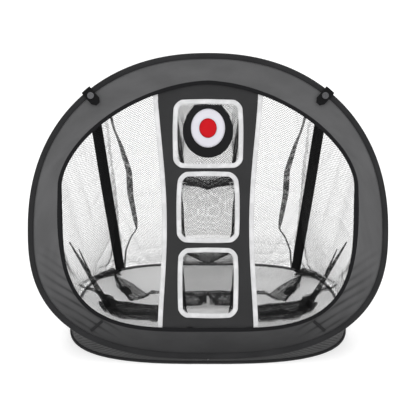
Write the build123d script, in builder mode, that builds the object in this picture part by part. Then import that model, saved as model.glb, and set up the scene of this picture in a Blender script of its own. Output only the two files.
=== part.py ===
"""Golf chipping net: an oval front frame with three ball pockets leans back on a hoop on the floor.

Millimetres, +Z up. The front faces -Y, and the origin is the middle of the footprint, on the floor.
"""

import os
from collections import namedtuple
from math import atan2, cos, degrees, pi, radians, sin

from build123d import *

os.makedirs("parts", exist_ok=True)

# An oval drawn by formula: half widths to the side, up and down from its centre, and how square each one is.
Oval = namedtuple("Oval", "centre half_width up down up_power down_power")

# Driving dimensions
LEAN = 20.0  # degrees that the front frame leans back from upright
FOOT_Y = -243.2  # where the front frame stands, half the depth in front of the origin
FOOT_Z = 10.8  # its lowest edge, clear of the floor hoop's sleeve
FRONT_OVAL = Oval(252.0, 350.0, 342.0, 252.0, 2.2, 2.6)  # outer edge of the front sleeve
MOUTH_OVAL = Oval(335.6, 284.0, 197.4, 275.6, 1.72, 3.64)  # inner edge of the front band
BASE_OVAL = Oval(FOOT_Y + 188.0, 285.0, 301.8, 190.8, 3.34, 2.92)  # outer edge of the floor sleeve

SLEEVE_WIDTH = 15.0
SLEEVE_THICK = 7.0
SLEEVE_WALL = 0.6
BASE_SLEEVE_WIDTH = 9.0
BASE_SLEEVE_HEIGHT = 6.4
STEEL_THICK = 1.5  # flat spring steel, bent the easy way
STEEL_WIDTH = 4.0
FERRULE_LENGTH = 40.0

CLOTH = 1.2  # woven cloth and netting, thickened to a workable solid
GAP = 0.2
BINDING_WIDTH = 7.0
BINDING_THICK = 3.2
TAPE_WIDTH = 8.5
TAPE_THICK = 3.6
SLOT = 1.6  # the slot in a folded tape that holds the edge of the cloth
PANEL_BACK = -3.2  # back face of the centre panel, behind the front plane

# Each pocket: name, height up the front plane of its middle, outer width and height of its trim.
POCKETS = (
    ("top", 437.0, 137.0, 134.0),
    ("middle", 294.5, 123.0, 139.0),
    ("bottom", 147.5, 118.0, 137.0),
)
TRIM_CORNER = 24.0
POCKET_DEPTH = 110.0
POCKET_DROOP = 26.0
POCKET_TAPER = 16.0

TARGET_TOP = 493.5  # height up the front plane of the target's sewn edge
TARGET_WIDTH = 98.0
TARGET_HEIGHT = 103.0
TARGET_FLAT = 52.0  # length of its sewn edge
RING_SIZE = (66.0, 75.0)
BULLSEYE_SIZE = (34.0, 38.0)
RING_RISE = 6.0  # from the middle of the target up to the middle of its rings

WEBBING_WIDTH = 20.0
WEBBING_THICK = 1.4
STRAP_ANGLE = 131.3  # where the left strap meets the front oval, seen from the oval's centre
STRAP_FOOT_ANGLE = 129.0
CORNER_ANGLE = 126.3  # where side net and back net are seamed together
HINGE_ANGLE = 216.0  # where the side net ends and the front corner gusset begins
HINGE_FOOT_ANGLE = 190.0
TAB_LENGTH = 36.0
FLAP_BACK = 6.0  # how far the tab's flap lies in front of the front plane
STUD_INSET = 12.0

LEFT, RIGHT = -1, 1
SIDES = (("left", LEFT), ("right", RIGHT))

front = Plane(
    origin=(0, FOOT_Y, FOOT_Z),
    x_dir=(1, 0, 0),
    z_dir=(0, -cos(radians(LEAN)), sin(radians(LEAN))),
)
floor = Plane.XY


def oval_point(oval, inset, angle):
    """The point of an oval's edge, moved in by inset, at an angle in degrees seen from its centre."""
    across, along = cos(radians(angle)), sin(radians(angle))
    height, power = (oval.up, oval.up_power) if along >= 0 else (oval.down, oval.down_power)
    terms = abs(across / (oval.half_width - inset)) ** power + abs(along / (height - inset)) ** power
    reach = terms ** (-1 / power)
    return reach * across, oval.centre + reach * along


def oval_line(oval, inset, count=72):
    """A closed smooth line round an oval."""
    return Spline(*[oval_point(oval, inset, 360 * i / count) for i in range(count)], periodic=True)


def oval_ring(plane, oval, outer, inner, thickness, mode=Mode.ADD):
    """A flat ring between two insets of one oval."""
    with BuildSketch(plane) as ring:
        with BuildLine():
            oval_line(oval, outer)
        make_face()
        with BuildLine():
            oval_line(oval, inner)
        make_face(mode=Mode.SUBTRACT)
    extrude(ring.sketch, amount=thickness, mode=mode)


def arc_of(plane, oval, inset, offset, start, end, count=12):
    """The stretch of an oval from one angle to another, offset from its plane, as an edge in space."""
    angles = [start + (end - start) * i / count for i in range(count + 1)]
    points = [oval_point(oval, inset, angle) for angle in angles]
    return Edge.make_spline([plane.from_local_coords((x, y, offset)) for x, y in points])


def mirrored_angle(angle, side):
    """An angle given for the left side, on either side."""
    return angle if side == LEFT else 180 - angle


def skin_between(side, hoop, foot, thickness):
    """A sheet stretched from a stretch of the front oval to a stretch of the floor oval.

    hoop and foot are each (inset, offset from the plane, start angle, end angle).
    """
    edges = [
        arc_of(plane, oval, inset, offset, mirrored_angle(start, side), mirrored_angle(end, side))
        for plane, oval, (inset, offset, start, end) in (
            (front, FRONT_OVAL, hoop),
            (floor, BASE_OVAL, foot),
        )
    ]
    return Solid.thicken(Face.make_surface_from_curves(*edges), side * thickness)


def finish(builder, name):
    """Labels a finished piece and writes it."""
    builder.part.label = name
    export_step(builder.part, f"parts/{name}.step")


# Front frame: spring steel hoop in its sleeve
def make_front_hoop():
    ferrule_low = FRONT_OVAL.centre - FRONT_OVAL.down + 4.4
    with BuildPart() as hoop:
        oval_ring(front.offset(-STEEL_WIDTH / 2), FRONT_OVAL, 5.5, 5.5 + STEEL_THICK, STEEL_WIDTH)
    finish(hoop, "front_hoop")
    with BuildPart() as ferrule:
        with BuildSketch(front.offset(-2.6)):
            with Locations((0, ferrule_low + 1.9)):
                Rectangle(FERRULE_LENGTH, 3.8)
        extrude(amount=5.2)
        oval_ring(front.offset(-2.2), FRONT_OVAL, 5.3, 5.7 + STEEL_THICK, 4.4, mode=Mode.SUBTRACT)
        fillet(ferrule.edges().filter_by(GeomType.LINE).group_by(Edge.length)[-1], 0.3)
    finish(ferrule, "front_hoop_ferrule")
    with BuildPart() as sleeve:
        oval_ring(front.offset(-SLEEVE_THICK / 2), FRONT_OVAL, 0, SLEEVE_WIDTH, SLEEVE_THICK)
        oval_ring(
            front.offset(SLEEVE_WALL - SLEEVE_THICK / 2),
            FRONT_OVAL,
            SLEEVE_WALL,
            SLEEVE_WIDTH - SLEEVE_WALL,
            SLEEVE_THICK - 2 * SLEEVE_WALL,
            mode=Mode.SUBTRACT,
        )
    finish(sleeve, "front_sleeve")


# Front frame: cloth band and the folded tape round the mouth
def make_front_band():
    with BuildPart() as band:
        with BuildSketch(front.offset(-CLOTH / 2)):
            with BuildLine():
                oval_line(FRONT_OVAL, SLEEVE_WIDTH + GAP)
            make_face()
            with BuildLine():
                oval_line(MOUTH_OVAL, -2.4)
            make_face(mode=Mode.SUBTRACT)
        extrude(amount=CLOTH)
    finish(band, "front_band")
    with BuildPart() as binding:
        oval_ring(front.offset(-BINDING_THICK / 2), MOUTH_OVAL, -BINDING_WIDTH, 0, BINDING_THICK)
        oval_ring(front.offset(-SLOT / 2), MOUTH_OVAL, -BINDING_WIDTH - 1, -2, SLOT, mode=Mode.SUBTRACT)
    finish(binding, "mouth_binding")


def panel_outline(inset):
    """The centre panel's waisted outline, narrower by inset on each side."""
    right = Spline(
        (107 - inset, 545),
        (94 - inset, 366),
        (89.5 - inset, 285),
        (91 - inset, 185),
        (98 - inset, 50),
    )
    bottom = Line(right @ 1, (-(98 - inset), 50))
    left = Spline(
        bottom @ 1,
        (-(91 - inset), 185),
        (-(89.5 - inset), 285),
        (-(94 - inset), 366),
        (-(107 - inset), 545),
    )
    Line(left @ 1, right @ 0)


# Front frame: dark centre panel with its white side tapes
def make_centre_panel():
    with BuildPart() as panel:
        with BuildSketch(front.offset(PANEL_BACK)):
            with BuildLine():
                oval_line(MOUTH_OVAL, -BINDING_WIDTH)
            make_face()
            with BuildLine():
                panel_outline(1.9)
            make_face(mode=Mode.INTERSECT)
            for _, height, wide, high in POCKETS:
                with Locations((0, height)):
                    RectangleRounded(wide - 11.2, high - 11.2, TRIM_CORNER - 5.6, mode=Mode.SUBTRACT)
        extrude(amount=CLOTH)
    finish(panel, "centre_panel")
    for name, side in SIDES:
        with BuildPart() as tape:
            for lower, thick, outer, inner, mode in (
                (PANEL_BACK - 1.2, TAPE_THICK, 0, TAPE_WIDTH, Mode.ADD),
                (PANEL_BACK - 0.2, SLOT, 1.7, TAPE_WIDTH + 1, Mode.SUBTRACT),
            ):
                with BuildSketch(front.offset(lower)):
                    with BuildLine():
                        oval_line(MOUTH_OVAL, GAP)
                    make_face()
                    with BuildLine():
                        panel_outline(outer)
                    make_face(mode=Mode.INTERSECT)
                    with BuildLine():
                        panel_outline(inner)
                    make_face(mode=Mode.SUBTRACT)
                    with Locations((-side * 200, 300)):
                        Rectangle(400, 700, mode=Mode.SUBTRACT)
                extrude(amount=thick, mode=mode)
        finish(tape, f"panel_tape_{name}")


# Front frame: white trim round each pocket's mouth, and its mesh bag
def make_pockets():
    for name, height, wide, high in POCKETS:
        with BuildPart() as trim:
            with BuildSketch(front.offset(PANEL_BACK - 1.2)):
                with Locations((0, height)):
                    RectangleRounded(wide, high, TRIM_CORNER)
                    inner_wide, inner_high = wide - 2 * TAPE_WIDTH, high - 2 * TAPE_WIDTH
                    RectangleRounded(
                        inner_wide, inner_high, TRIM_CORNER - TAPE_WIDTH, mode=Mode.SUBTRACT
                    )
            extrude(amount=TAPE_THICK)
            with BuildSketch(front.offset(PANEL_BACK - 0.2)):
                with Locations((0, height)):
                    RectangleRounded(wide + 2, high + 2, TRIM_CORNER + 1)
                    RectangleRounded(wide - 12, high - 12, TRIM_CORNER - 6, mode=Mode.SUBTRACT)
            extrude(amount=SLOT, mode=Mode.SUBTRACT)
        finish(trim, f"pocket_trim_{name}")

        mouth = PANEL_BACK - 1.6
        with BuildPart() as net:
            for grow, back, mode in ((0, 0, Mode.ADD), (-2 * CLOTH, CLOTH, Mode.SUBTRACT)):
                with BuildSketch(front.offset(mouth)):
                    with Locations((0, height)):
                        RectangleRounded(wide - 6 + grow, high - 6 + grow, TRIM_CORNER - 4)
                with BuildSketch(front.offset(mouth - POCKET_DEPTH + back)):
                    with Locations((0, height - POCKET_DROOP)):
                        RectangleRounded(
                            wide - 6 - POCKET_TAPER + grow, high - 6 - POCKET_TAPER + grow, TRIM_CORNER - 4
                        )
                loft(mode=mode)
        finish(net, f"pocket_net_{name}")


# Bullseye target that swings in the top pocket's mouth from its flat top edge
def make_target():
    target_back = PANEL_BACK
    middle = TARGET_TOP - TARGET_HEIGHT / 2 + RING_RISE
    with BuildPart() as disc:
        with BuildSketch(front.offset(target_back)):
            with Locations((0, TARGET_TOP - TARGET_HEIGHT / 2)):
                Ellipse(TARGET_WIDTH / 2, TARGET_HEIGHT / 2)
            with BuildLine():
                Polyline(
                    (-TARGET_FLAT / 2, TARGET_TOP),
                    (TARGET_FLAT / 2, TARGET_TOP),
                    (TARGET_WIDTH / 2 - 5, TARGET_TOP - 27),
                    (-TARGET_WIDTH / 2 + 5, TARGET_TOP - 27),
                    close=True,
                )
            make_face()
        extrude(amount=CLOTH)
    finish(disc, "target_disc")
    with BuildPart() as ring:
        with BuildSketch(front.offset(target_back + CLOTH + 0.1)):
            with Locations((0, middle)):
                Ellipse(RING_SIZE[0] / 2, RING_SIZE[1] / 2)
                Ellipse(BULLSEYE_SIZE[0] / 2, BULLSEYE_SIZE[1] / 2, mode=Mode.SUBTRACT)
        extrude(amount=0.6)
    finish(ring, "target_ring")
    with BuildPart() as bullseye:
        with BuildSketch(front.offset(target_back + CLOTH + 0.1)):
            with Locations((0, middle)):
                Ellipse(BULLSEYE_SIZE[0] / 2 - GAP, BULLSEYE_SIZE[1] / 2 - GAP)
        extrude(amount=0.6)
    finish(bullseye, "target_bullseye")
    with BuildPart() as hanger:
        with BuildSketch(front.offset(target_back - 2.2)):
            with Locations((0, TARGET_TOP + 3.1)):
                RectangleRounded(TARGET_FLAT + 4, 5.2, 1.5)
        extrude(amount=0.7)
    finish(hanger, "target_hanger")


def radial_plane(angle, inset, offset):
    """A plane on the front frame whose y axis points in from the oval's edge towards its centre."""
    x, y = oval_point(FRONT_OVAL, inset, angle)
    inward = radians(angle + 180)
    origin = front.from_local_coords((x, y, offset))
    tip = front.from_local_coords((x + cos(inward - pi / 2), y + sin(inward - pi / 2), offset))
    return Plane(origin=origin, x_dir=tip - origin, z_dir=front.z_dir)


# Strap tabs that wrap the front sleeve and close with a press stud
def make_tabs():
    posts = []
    for name, side in SIDES:
        angle = mirrored_angle(STRAP_ANGLE, side)
        with BuildPart() as root:
            with BuildSketch(radial_plane(angle, 0, -SLEEVE_THICK / 2 - 0.4 - WEBBING_THICK)):
                with Locations((0, 13)):
                    Rectangle(WEBBING_WIDTH, 30)
            extrude(amount=WEBBING_THICK)
            with BuildSketch(radial_plane(angle, 0, -SLEEVE_THICK / 2 - 0.4 - WEBBING_THICK)):
                with Locations((0, -2.3)):
                    Rectangle(WEBBING_WIDTH, WEBBING_THICK)
            extrude(amount=SLEEVE_THICK / 2 + FLAP_BACK + WEBBING_THICK)
        finish(root, f"tab_root_{name}")
        with BuildPart() as flap:
            with BuildSketch(radial_plane(angle, 0, FLAP_BACK)):
                with Locations((0, TAB_LENGTH / 2 - 2)):
                    Rectangle(WEBBING_WIDTH, TAB_LENGTH)
            extrude(amount=WEBBING_THICK)
            centre = front.from_local_coords((0, FRONT_OVAL.centre, FLAP_BACK))
            corners = flap.edges().filter_by(Axis(front.origin, front.z_dir))
            fillet(corners.sort_by(lambda edge: (edge.center() - centre).length)[:2], 6)
            with Locations(radial_plane(angle, STUD_INSET, FLAP_BACK)):
                Hole(2.0)
        finish(flap, f"strap_tab_{name}")
        with BuildPart() as cap:
            for offset, radius, thick in (
                (FLAP_BACK + 1.5, 6.5, 1.8),
                (FLAP_BACK - 0.1, 1.9, 1.6),
                (FLAP_BACK - 1.4, 4.6, 1.3),
            ):
                with BuildSketch(radial_plane(angle, STUD_INSET, offset)):
                    Circle(radius)
                extrude(amount=thick)
            with BuildSketch(radial_plane(angle, STUD_INSET, FLAP_BACK - 1.4)):
                Circle(2.6)
            extrude(amount=1.1, mode=Mode.SUBTRACT)
            with BuildSketch(radial_plane(angle, STUD_INSET, FLAP_BACK + 2.5)):
                Circle(3.4)
            extrude(amount=0.8, mode=Mode.SUBTRACT)
        finish(cap, f"stud_cap_{name}")
        posts.append(angle)
    with BuildPart() as studs:
        for angle in posts:
            for offset, radius, thick in ((FLAP_BACK - 2.4, 5.0, 0.6), (FLAP_BACK - 1.8, 2.3, 1.2)):
                with BuildSketch(radial_plane(angle, STUD_INSET, offset)):
                    Circle(radius)
                extrude(amount=thick)
    finish(studs, "stud_posts")


# Sewn tapes at the lower corners, over the seam that joins the front band to the floor hoop
def make_hinge_tapes():
    for name, side in SIDES:
        with BuildPart() as tape:
            with BuildSketch(radial_plane(mirrored_angle(221, side), SLEEVE_WIDTH + 1, 1.0)):
                with Locations((0, 16)):
                    RectangleRounded(9, 31, 1.5)
            extrude(amount=1.0)
        finish(tape, f"hinge_tape_{name}")


# Floor hoop in its sleeve, with the ferrule that joins its ends
def make_base():
    steel_low = (BASE_SLEEVE_HEIGHT - STEEL_WIDTH) / 2
    with BuildPart() as hoop:
        oval_ring(floor.offset(steel_low), BASE_OVAL, 3.8, 3.8 + STEEL_THICK, STEEL_WIDTH)
    finish(hoop, "base_hoop")
    rear = BASE_OVAL.centre + BASE_OVAL.up
    with BuildPart() as ferrule:
        with BuildSketch(floor.offset(steel_low - 0.5)):
            with Locations((0, rear - 4.6)):
                Rectangle(FERRULE_LENGTH, 3.6)
        extrude(amount=STEEL_WIDTH + 1.0)
        bore = floor.offset(steel_low - 0.1)
        oval_ring(bore, BASE_OVAL, 3.6, 4.0 + STEEL_THICK, STEEL_WIDTH + 0.2, mode=Mode.SUBTRACT)
    finish(ferrule, "base_hoop_ferrule")
    wall = SLEEVE_WALL
    with BuildPart() as sleeve:
        oval_ring(floor, BASE_OVAL, 0, BASE_SLEEVE_WIDTH, BASE_SLEEVE_HEIGHT)
        oval_ring(
            floor.offset(wall),
            BASE_OVAL,
            wall,
            BASE_SLEEVE_WIDTH - wall,
            BASE_SLEEVE_HEIGHT - 2 * wall,
            mode=Mode.SUBTRACT,
        )
    finish(sleeve, "base_sleeve")
    with BuildPart() as net:
        with BuildSketch(floor.offset(3)):
            with BuildLine():
                oval_line(BASE_OVAL, BASE_SLEEVE_WIDTH + 0.4)
            make_face()
        extrude(amount=CLOTH)
    finish(net, "net_floor")


# Netting, corner seams, gussets and straps between the two hoops
def make_skins():
    corner, half_seam, half_strap = CORNER_ANGLE, 0.4, 1.7
    side_start, seam_start, seam_end = corner + 0.6, corner - half_seam, corner + half_seam
    hoop_start, hoop_end = STRAP_ANGLE - half_strap, STRAP_ANGLE + half_strap
    foot_start, foot_end = STRAP_FOOT_ANGLE - half_strap, STRAP_FOOT_ANGLE + half_strap
    skins = (
        # name, (inset, offset, start angle, end angle) on the front oval, then on the floor oval, thickness
        ("net", (8, -12, side_start, HINGE_ANGLE - 1), (5, 8.5, side_start, HINGE_FOOT_ANGLE - 1), CLOTH),
        ("net_seam", (8, -12, seam_start, seam_end), (5, 8.5, seam_start, seam_end), 2 * CLOTH),
        ("corner_gusset", (6, -6, HINGE_ANGLE, 264), (8, 7.6, HINGE_FOOT_ANGLE, 264), CLOTH),
        ("strap", (12, -8, hoop_start, hoop_end), (16, 12, foot_start, foot_end), WEBBING_THICK),
    )
    for name, hoop, foot, thickness in skins:
        for side_name, side in SIDES:
            with BuildPart() as skin:
                add(skin_between(side, hoop, foot, thickness))
            finish(skin, f"{name}_{side_name}")
    back_start, back_end = corner - 0.6, 180 - corner + 0.6
    with BuildPart() as back:
        add(skin_between(LEFT, (8, -12, back_start, back_end), (5, 8.5, back_start, back_end), CLOTH))
    finish(back, "net_back")


# Gathered ends of the straps, sewn to the floor sleeve's rear corners
def make_anchors():
    for name, side in SIDES:
        angle = mirrored_angle(STRAP_FOOT_ANGLE + 1.5, side)
        x, y = oval_point(BASE_OVAL, 16, angle)
        turn = degrees(atan2(y - BASE_OVAL.centre, x)) + 90
        with BuildPart() as anchor:
            with BuildSketch(floor.offset(BASE_SLEEVE_HEIGHT + 0.3)):
                with Locations(Location((x, y, 0), (0, 0, turn))):
                    RectangleRounded(26, 11, 4)
            extrude(amount=3.6, taper=8)
        finish(anchor, f"strap_anchor_{name}")


make_front_hoop()
make_front_band()
make_centre_panel()
make_pockets()
make_target()
make_tabs()
make_hinge_tapes()
make_base()
make_skins()
make_anchors()
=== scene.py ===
"""The looks of a golf chipping net: cloth, netting, tapes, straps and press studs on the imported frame.

Metres, +Z up. The front faces -Y and leans back. Pieces on the front frame are drawn flat, as
(across, up, out): across the front, up its slope, and out towards the player.
"""

import math
from collections import namedtuple

import bmesh
import bpy
import numpy as np
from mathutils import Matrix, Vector, geometry, noise


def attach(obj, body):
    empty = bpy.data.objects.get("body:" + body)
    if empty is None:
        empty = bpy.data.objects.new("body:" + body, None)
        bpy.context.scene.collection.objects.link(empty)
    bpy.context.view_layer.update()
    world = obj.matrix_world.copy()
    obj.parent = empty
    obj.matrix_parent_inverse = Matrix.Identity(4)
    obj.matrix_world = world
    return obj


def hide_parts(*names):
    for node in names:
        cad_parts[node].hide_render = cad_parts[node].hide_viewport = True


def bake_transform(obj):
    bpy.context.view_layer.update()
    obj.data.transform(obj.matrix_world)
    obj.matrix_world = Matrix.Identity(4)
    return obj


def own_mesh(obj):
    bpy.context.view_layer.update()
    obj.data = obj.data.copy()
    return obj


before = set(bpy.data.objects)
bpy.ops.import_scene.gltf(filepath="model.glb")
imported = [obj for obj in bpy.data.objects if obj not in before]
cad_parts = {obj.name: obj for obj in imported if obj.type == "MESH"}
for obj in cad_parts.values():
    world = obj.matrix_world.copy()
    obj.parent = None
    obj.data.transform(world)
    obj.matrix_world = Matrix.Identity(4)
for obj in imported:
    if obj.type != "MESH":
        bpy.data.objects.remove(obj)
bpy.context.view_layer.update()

bl_info = {
    "name": "Golf chipping net",
    "version": (1, 0, 0),
    "blender": (4, 5, 0),
    "location": "3D View > Sidebar > Chipping Net",
    "description": "Makes the cloth, netting, tapes and straps of a golf chipping net",
    "category": "Object",
}

MM = 0.001
LEAN = math.radians(20)
FOOT_Y = -0.2432
FOOT_Z = 0.0108

Oval = namedtuple("Oval", "centre half_width up down up_power down_power")
FRONT = Oval(0.252, 0.350, 0.342, 0.252, 2.2, 2.6)
MOUTH = Oval(0.3356, 0.284, 0.1974, 0.2756, 1.72, 3.64)
BASE = Oval(FOOT_Y + 0.188, 0.285, 0.3018, 0.1908, 3.34, 2.92)

# name, height of its middle, width and height of the trim
POCKETS = (
    ("top", 0.437, 0.137, 0.134),
    ("middle", 0.2945, 0.123, 0.139),
    ("bottom", 0.1475, 0.118, 0.137),
)
# angles round the ovals, in degrees, on the left half
STRAP_ANGLE = 131.3
STRAP_FOOT_ANGLE = 129.0
CORNER_ANGLE = 126.3
HINGE_ANGLE = 216.0
HINGE_FOOT_ANGLE = 190.0
SIDES = (("left", -1), ("right", 1))

NET_SLANT = math.radians(45)
PANEL_OUT = -0.0026  # the centre panel's place behind the front frame's middle
PANEL_HEM = 0.0019  # of the panel's edge under its side tapes
PANEL_LAP = 0.0066  # of the panel past the mouth's edge, behind the dark tape
PANEL_FOOT = 0.0530
POCKET_DEPTH = 0.092
FOLD_DEPTH = 0.088  # how far behind the front the bags' bottoms lie
CLOTH_THICK = 0.0007
FLOOR_EDGE = 0.0085  # of the floor net, in from the floor hoop's edge
# where the nets are sewn: inset and out on the front hoop, inset and height on the floor hoop
HOOP_SEAM = (0.008, -0.009)
FLOOR_SEAM = (0.005, 0.0075)
CORNER_SEAM = 0.7  # degrees from the corner to each net's edge


# Settings


class NetSizes(bpy.types.PropertyGroup):
    """Sizes of the cloth work"""

    mesh_cell: bpy.props.FloatProperty(
        name="Mesh cell", description="Side of one cell of the netting", default=0.004, unit="LENGTH"
    )
    mesh_thread: bpy.props.FloatProperty(
        name="Mesh thread", description="Thickness of the netting's thread", default=0.00062, unit="LENGTH"
    )
    stitch_pitch: bpy.props.FloatProperty(
        name="Stitch pitch", description="From one stitch to the next", default=0.0034, unit="LENGTH"
    )
    stitch_thread: bpy.props.FloatProperty(
        name="Stitch thread", description="Thickness of the sewing thread", default=0.0005, unit="LENGTH"
    )
    webbing_width: bpy.props.FloatProperty(
        name="Webbing width", description="Width of the straps and tabs", default=0.020, unit="LENGTH"
    )
    binding_width: bpy.props.FloatProperty(
        name="Binding width", description="Width of the tape round the mouth", default=0.0072, unit="LENGTH"
    )
    tape_width: bpy.props.FloatProperty(
        name="White tape width", description="Width of the white tapes", default=0.0092, unit="LENGTH"
    )
    strap_width: bpy.props.FloatProperty(
        name="Strap width", description="Width of the two long straps", default=0.0235, unit="LENGTH"
    )
    sleeve_width: bpy.props.FloatProperty(
        name="Sleeve width", description="Width of the front hoop's sleeve", default=0.0118, unit="LENGTH"
    )
    weave: bpy.props.FloatProperty(
        name="Weave", description="Thread spacing of the woven cloth", default=0.0007, unit="LENGTH"
    )


class NetColours(bpy.types.PropertyGroup):
    """Colours of the cloth work"""

    band: bpy.props.FloatVectorProperty(
        name="Band", description="Cloth of the wide band", subtype="COLOR", default=(0.088, 0.088, 0.089)
    )
    panel: bpy.props.FloatVectorProperty(
        name="Panel", description="Cloth of the centre panel", subtype="COLOR", default=(0.030, 0.030, 0.031)
    )
    sleeve: bpy.props.FloatVectorProperty(
        name="Sleeve", description="Sleeves over the hoops", subtype="COLOR", default=(0.020, 0.020, 0.021)
    )
    binding: bpy.props.FloatVectorProperty(
        name="Binding", description="Tape round the mouth", subtype="COLOR", default=(0.009, 0.009, 0.010)
    )
    webbing: bpy.props.FloatVectorProperty(
        name="Webbing", description="Straps and tabs", subtype="COLOR", default=(0.004, 0.004, 0.0045)
    )
    netting: bpy.props.FloatVectorProperty(
        name="Netting", description="Knitted mesh", subtype="COLOR", default=(0.010, 0.010, 0.011)
    )
    tape: bpy.props.FloatVectorProperty(
        name="White tape", description="Trims and panel tapes", subtype="COLOR", default=(0.79, 0.79, 0.80)
    )
    ring: bpy.props.FloatVectorProperty(
        name="Ring", description="Pale ring of the target", subtype="COLOR", default=(0.64, 0.63, 0.685)
    )
    bullseye: bpy.props.FloatVectorProperty(
        name="Bullseye", description="Middle of the target", subtype="COLOR", default=(0.48, 0.004, 0.009)
    )


def sizes():
    return bpy.context.scene.chipping_net_sizes


def colours():
    return bpy.context.scene.chipping_net_colours


# Shapes


def oval_point(oval, inset, degrees):
    """Points of an oval's edge, moved in by inset, at angles seen from its centre."""
    angle = np.radians(degrees)
    across, along = np.cos(angle), np.sin(angle)
    height = np.where(along >= 0, oval.up, oval.down) - inset
    power = np.where(along >= 0, oval.up_power, oval.down_power)
    terms = np.abs(across / (oval.half_width - inset)) ** power + np.abs(along / height) ** power
    reach = terms ** (-1 / power)
    return np.stack([reach * across, oval.centre + reach * along], -1)


def on_front(points):
    """Points given as (across, up, out) on the front frame, where they are in the room."""
    across, up, out = np.moveaxis(np.asarray(points, float), -1, 0)
    sin, cos = math.sin(LEAN), math.cos(LEAN)
    return np.stack([across, FOOT_Y + up * sin - out * cos, FOOT_Z + up * cos + out * sin], -1)


def hoop_arc(inset, out, degrees):
    """A stretch of the front hoop in the room."""
    flat = oval_point(FRONT, inset, degrees)
    return on_front(np.concatenate([flat, np.full(flat.shape[:-1] + (1,), out)], -1))


def floor_arc(inset, height, degrees):
    """A stretch of the floor hoop in the room."""
    flat = oval_point(BASE, inset, degrees)
    return np.concatenate([flat, np.full(flat.shape[:-1] + (1,), height)], -1)


def side_angle(degrees, side):
    return degrees if side < 0 else 180 - degrees


def lengths(points, closed=False):
    """Distance along a line at each of its points, and once more round if it is closed."""
    line = np.concatenate([points, points[:1]]) if closed else points
    steps = np.linalg.norm(np.diff(line, axis=0), axis=1)
    return np.concatenate([[0], np.cumsum(steps)])


def unit(vectors):
    return vectors / np.maximum(np.linalg.norm(vectors, axis=-1, keepdims=True), 1e-12)


def ripple(points, size, seed=0.0):
    """Smooth noise from -1 to 1 at each point, with bumps of about that size."""
    flat = np.asarray(points, float).reshape(-1, np.shape(points)[-1]) / size
    offset = Vector((seed, 1.7 * seed, 3.1 * seed))
    values = [noise.noise(Vector((*p, 0.0, 0.0)[:3]) + offset) for p in flat]
    return np.array(values).reshape(np.shape(points)[:-1])


def new_object(name, mesh):
    thing = bpy.data.objects.new(name, mesh)
    bpy.context.scene.collection.objects.link(thing)
    return thing


def cloth_grid(name, points, wrap=False, uv=None):
    """A sheet of quads from rows of points, with a UV map in metres of flat cloth."""
    rows, columns = points.shape[:2]
    if uv is None:
        middle = points[rows // 2]
        along = lengths(middle, wrap)
        down = lengths(points[:, columns // 2])
        uv = np.stack(np.broadcast_arrays(along[None, :], down[:, None]), -1)
    faces, corners = [], []
    for i in range(rows - 1):
        for j in range(columns if wrap else columns - 1):
            k = (j + 1) % columns
            faces.append((i * columns + j, (i + 1) * columns + j, (i + 1) * columns + k, i * columns + k))
            corners += [uv[i, j], uv[i + 1, j], uv[i + 1, j + 1], uv[i, j + 1]]
    mesh = bpy.data.meshes.new(name)
    mesh.from_pydata(points.reshape(-1, 3).tolist(), [], faces)
    layer = mesh.uv_layers.new(name="Cloth")
    layer.data.foreach_set("uv", np.array(corners, np.float32).ravel())
    mesh.shade_smooth()
    return new_object(name, mesh)


def sweep(name, path, side, lift, profile, closed=False):
    """A tape or tube: the profile's (across, out) points carried along a path.

    side and lift are the directions of across and out at each point of the path.
    """
    rounds = np.concatenate([profile, profile[:1]])
    around = lengths(profile, True)
    points = (
        path[None]
        + rounds[:-1, 0][:, None, None] * side[None]
        + rounds[:-1, 1][:, None, None] * lift[None]
    )
    count, steps = len(profile), len(path)
    along = lengths(path, closed)
    faces, corners = [], []
    for j in range(steps if closed else steps - 1):
        n = (j + 1) % steps
        for i in range(count):
            k = (i + 1) % count
            faces.append((i * steps + j, i * steps + n, k * steps + n, k * steps + j))
            corners += [
                (along[j], around[i]),
                (along[j + 1], around[i]),
                (along[j + 1], around[i + 1]),
                (along[j], around[i + 1]),
            ]
    if not closed:
        for j, order in ((0, range(count)), (steps - 1, range(count - 1, -1, -1))):
            faces.append(tuple(i * steps + j for i in order))
            corners += [(along[j] + profile[i][0], profile[i][1]) for i in order]
    mesh = bpy.data.meshes.new(name)
    mesh.from_pydata(points.reshape(-1, 3).tolist(), [], faces)
    layer = mesh.uv_layers.new(name="Cloth")
    layer.data.foreach_set("uv", np.array(corners, np.float32).ravel())
    mesh.shade_smooth()
    thing = new_object(name, mesh)
    face_out(thing)
    return thing


def face_out(thing):
    """Turns every face of a closed piece outwards."""
    work = bmesh.new()
    work.from_mesh(thing.data)
    bmesh.ops.recalc_face_normals(work, faces=work.faces)
    work.to_mesh(thing.data)
    work.free()


def pillow(width, thick, points=14, power=2.6):
    """The outline of a soft flat tube."""
    angle = np.linspace(0, 2 * math.pi, points, endpoint=False)
    across, out = np.cos(angle), np.sin(angle)
    return np.stack(
        [
            width / 2 * np.sign(across) * np.abs(across) ** (2 / power),
            thick / 2 * np.sign(out) * np.abs(out) ** (2 / 2.2),
        ],
        -1,
    )


def tape(width, thick, points=5, fuller_edges=0.0):
    """The outline of a flat folded tape, fuller along its edges where it is turned over."""
    across = np.linspace(-0.5, 0.5, points)
    rise = thick / 2 * (1 + fuller_edges * (np.abs(2 * across) ** 3 - 0.5))
    rise[[0, -1]] *= 0.55
    top = np.stack([across * width, rise], -1)
    return np.concatenate([top, top[::-1] * (1, -1)])


def settle(thing):
    """Turns a piece's live modifiers into plain mesh."""
    graph = bpy.context.evaluated_depsgraph_get()
    mesh = bpy.data.meshes.new_from_object(
        thing.evaluated_get(graph), preserve_all_data_layers=True, depsgraph=graph
    )
    thing.modifiers.clear()
    thing.data = mesh
    return thing


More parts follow.
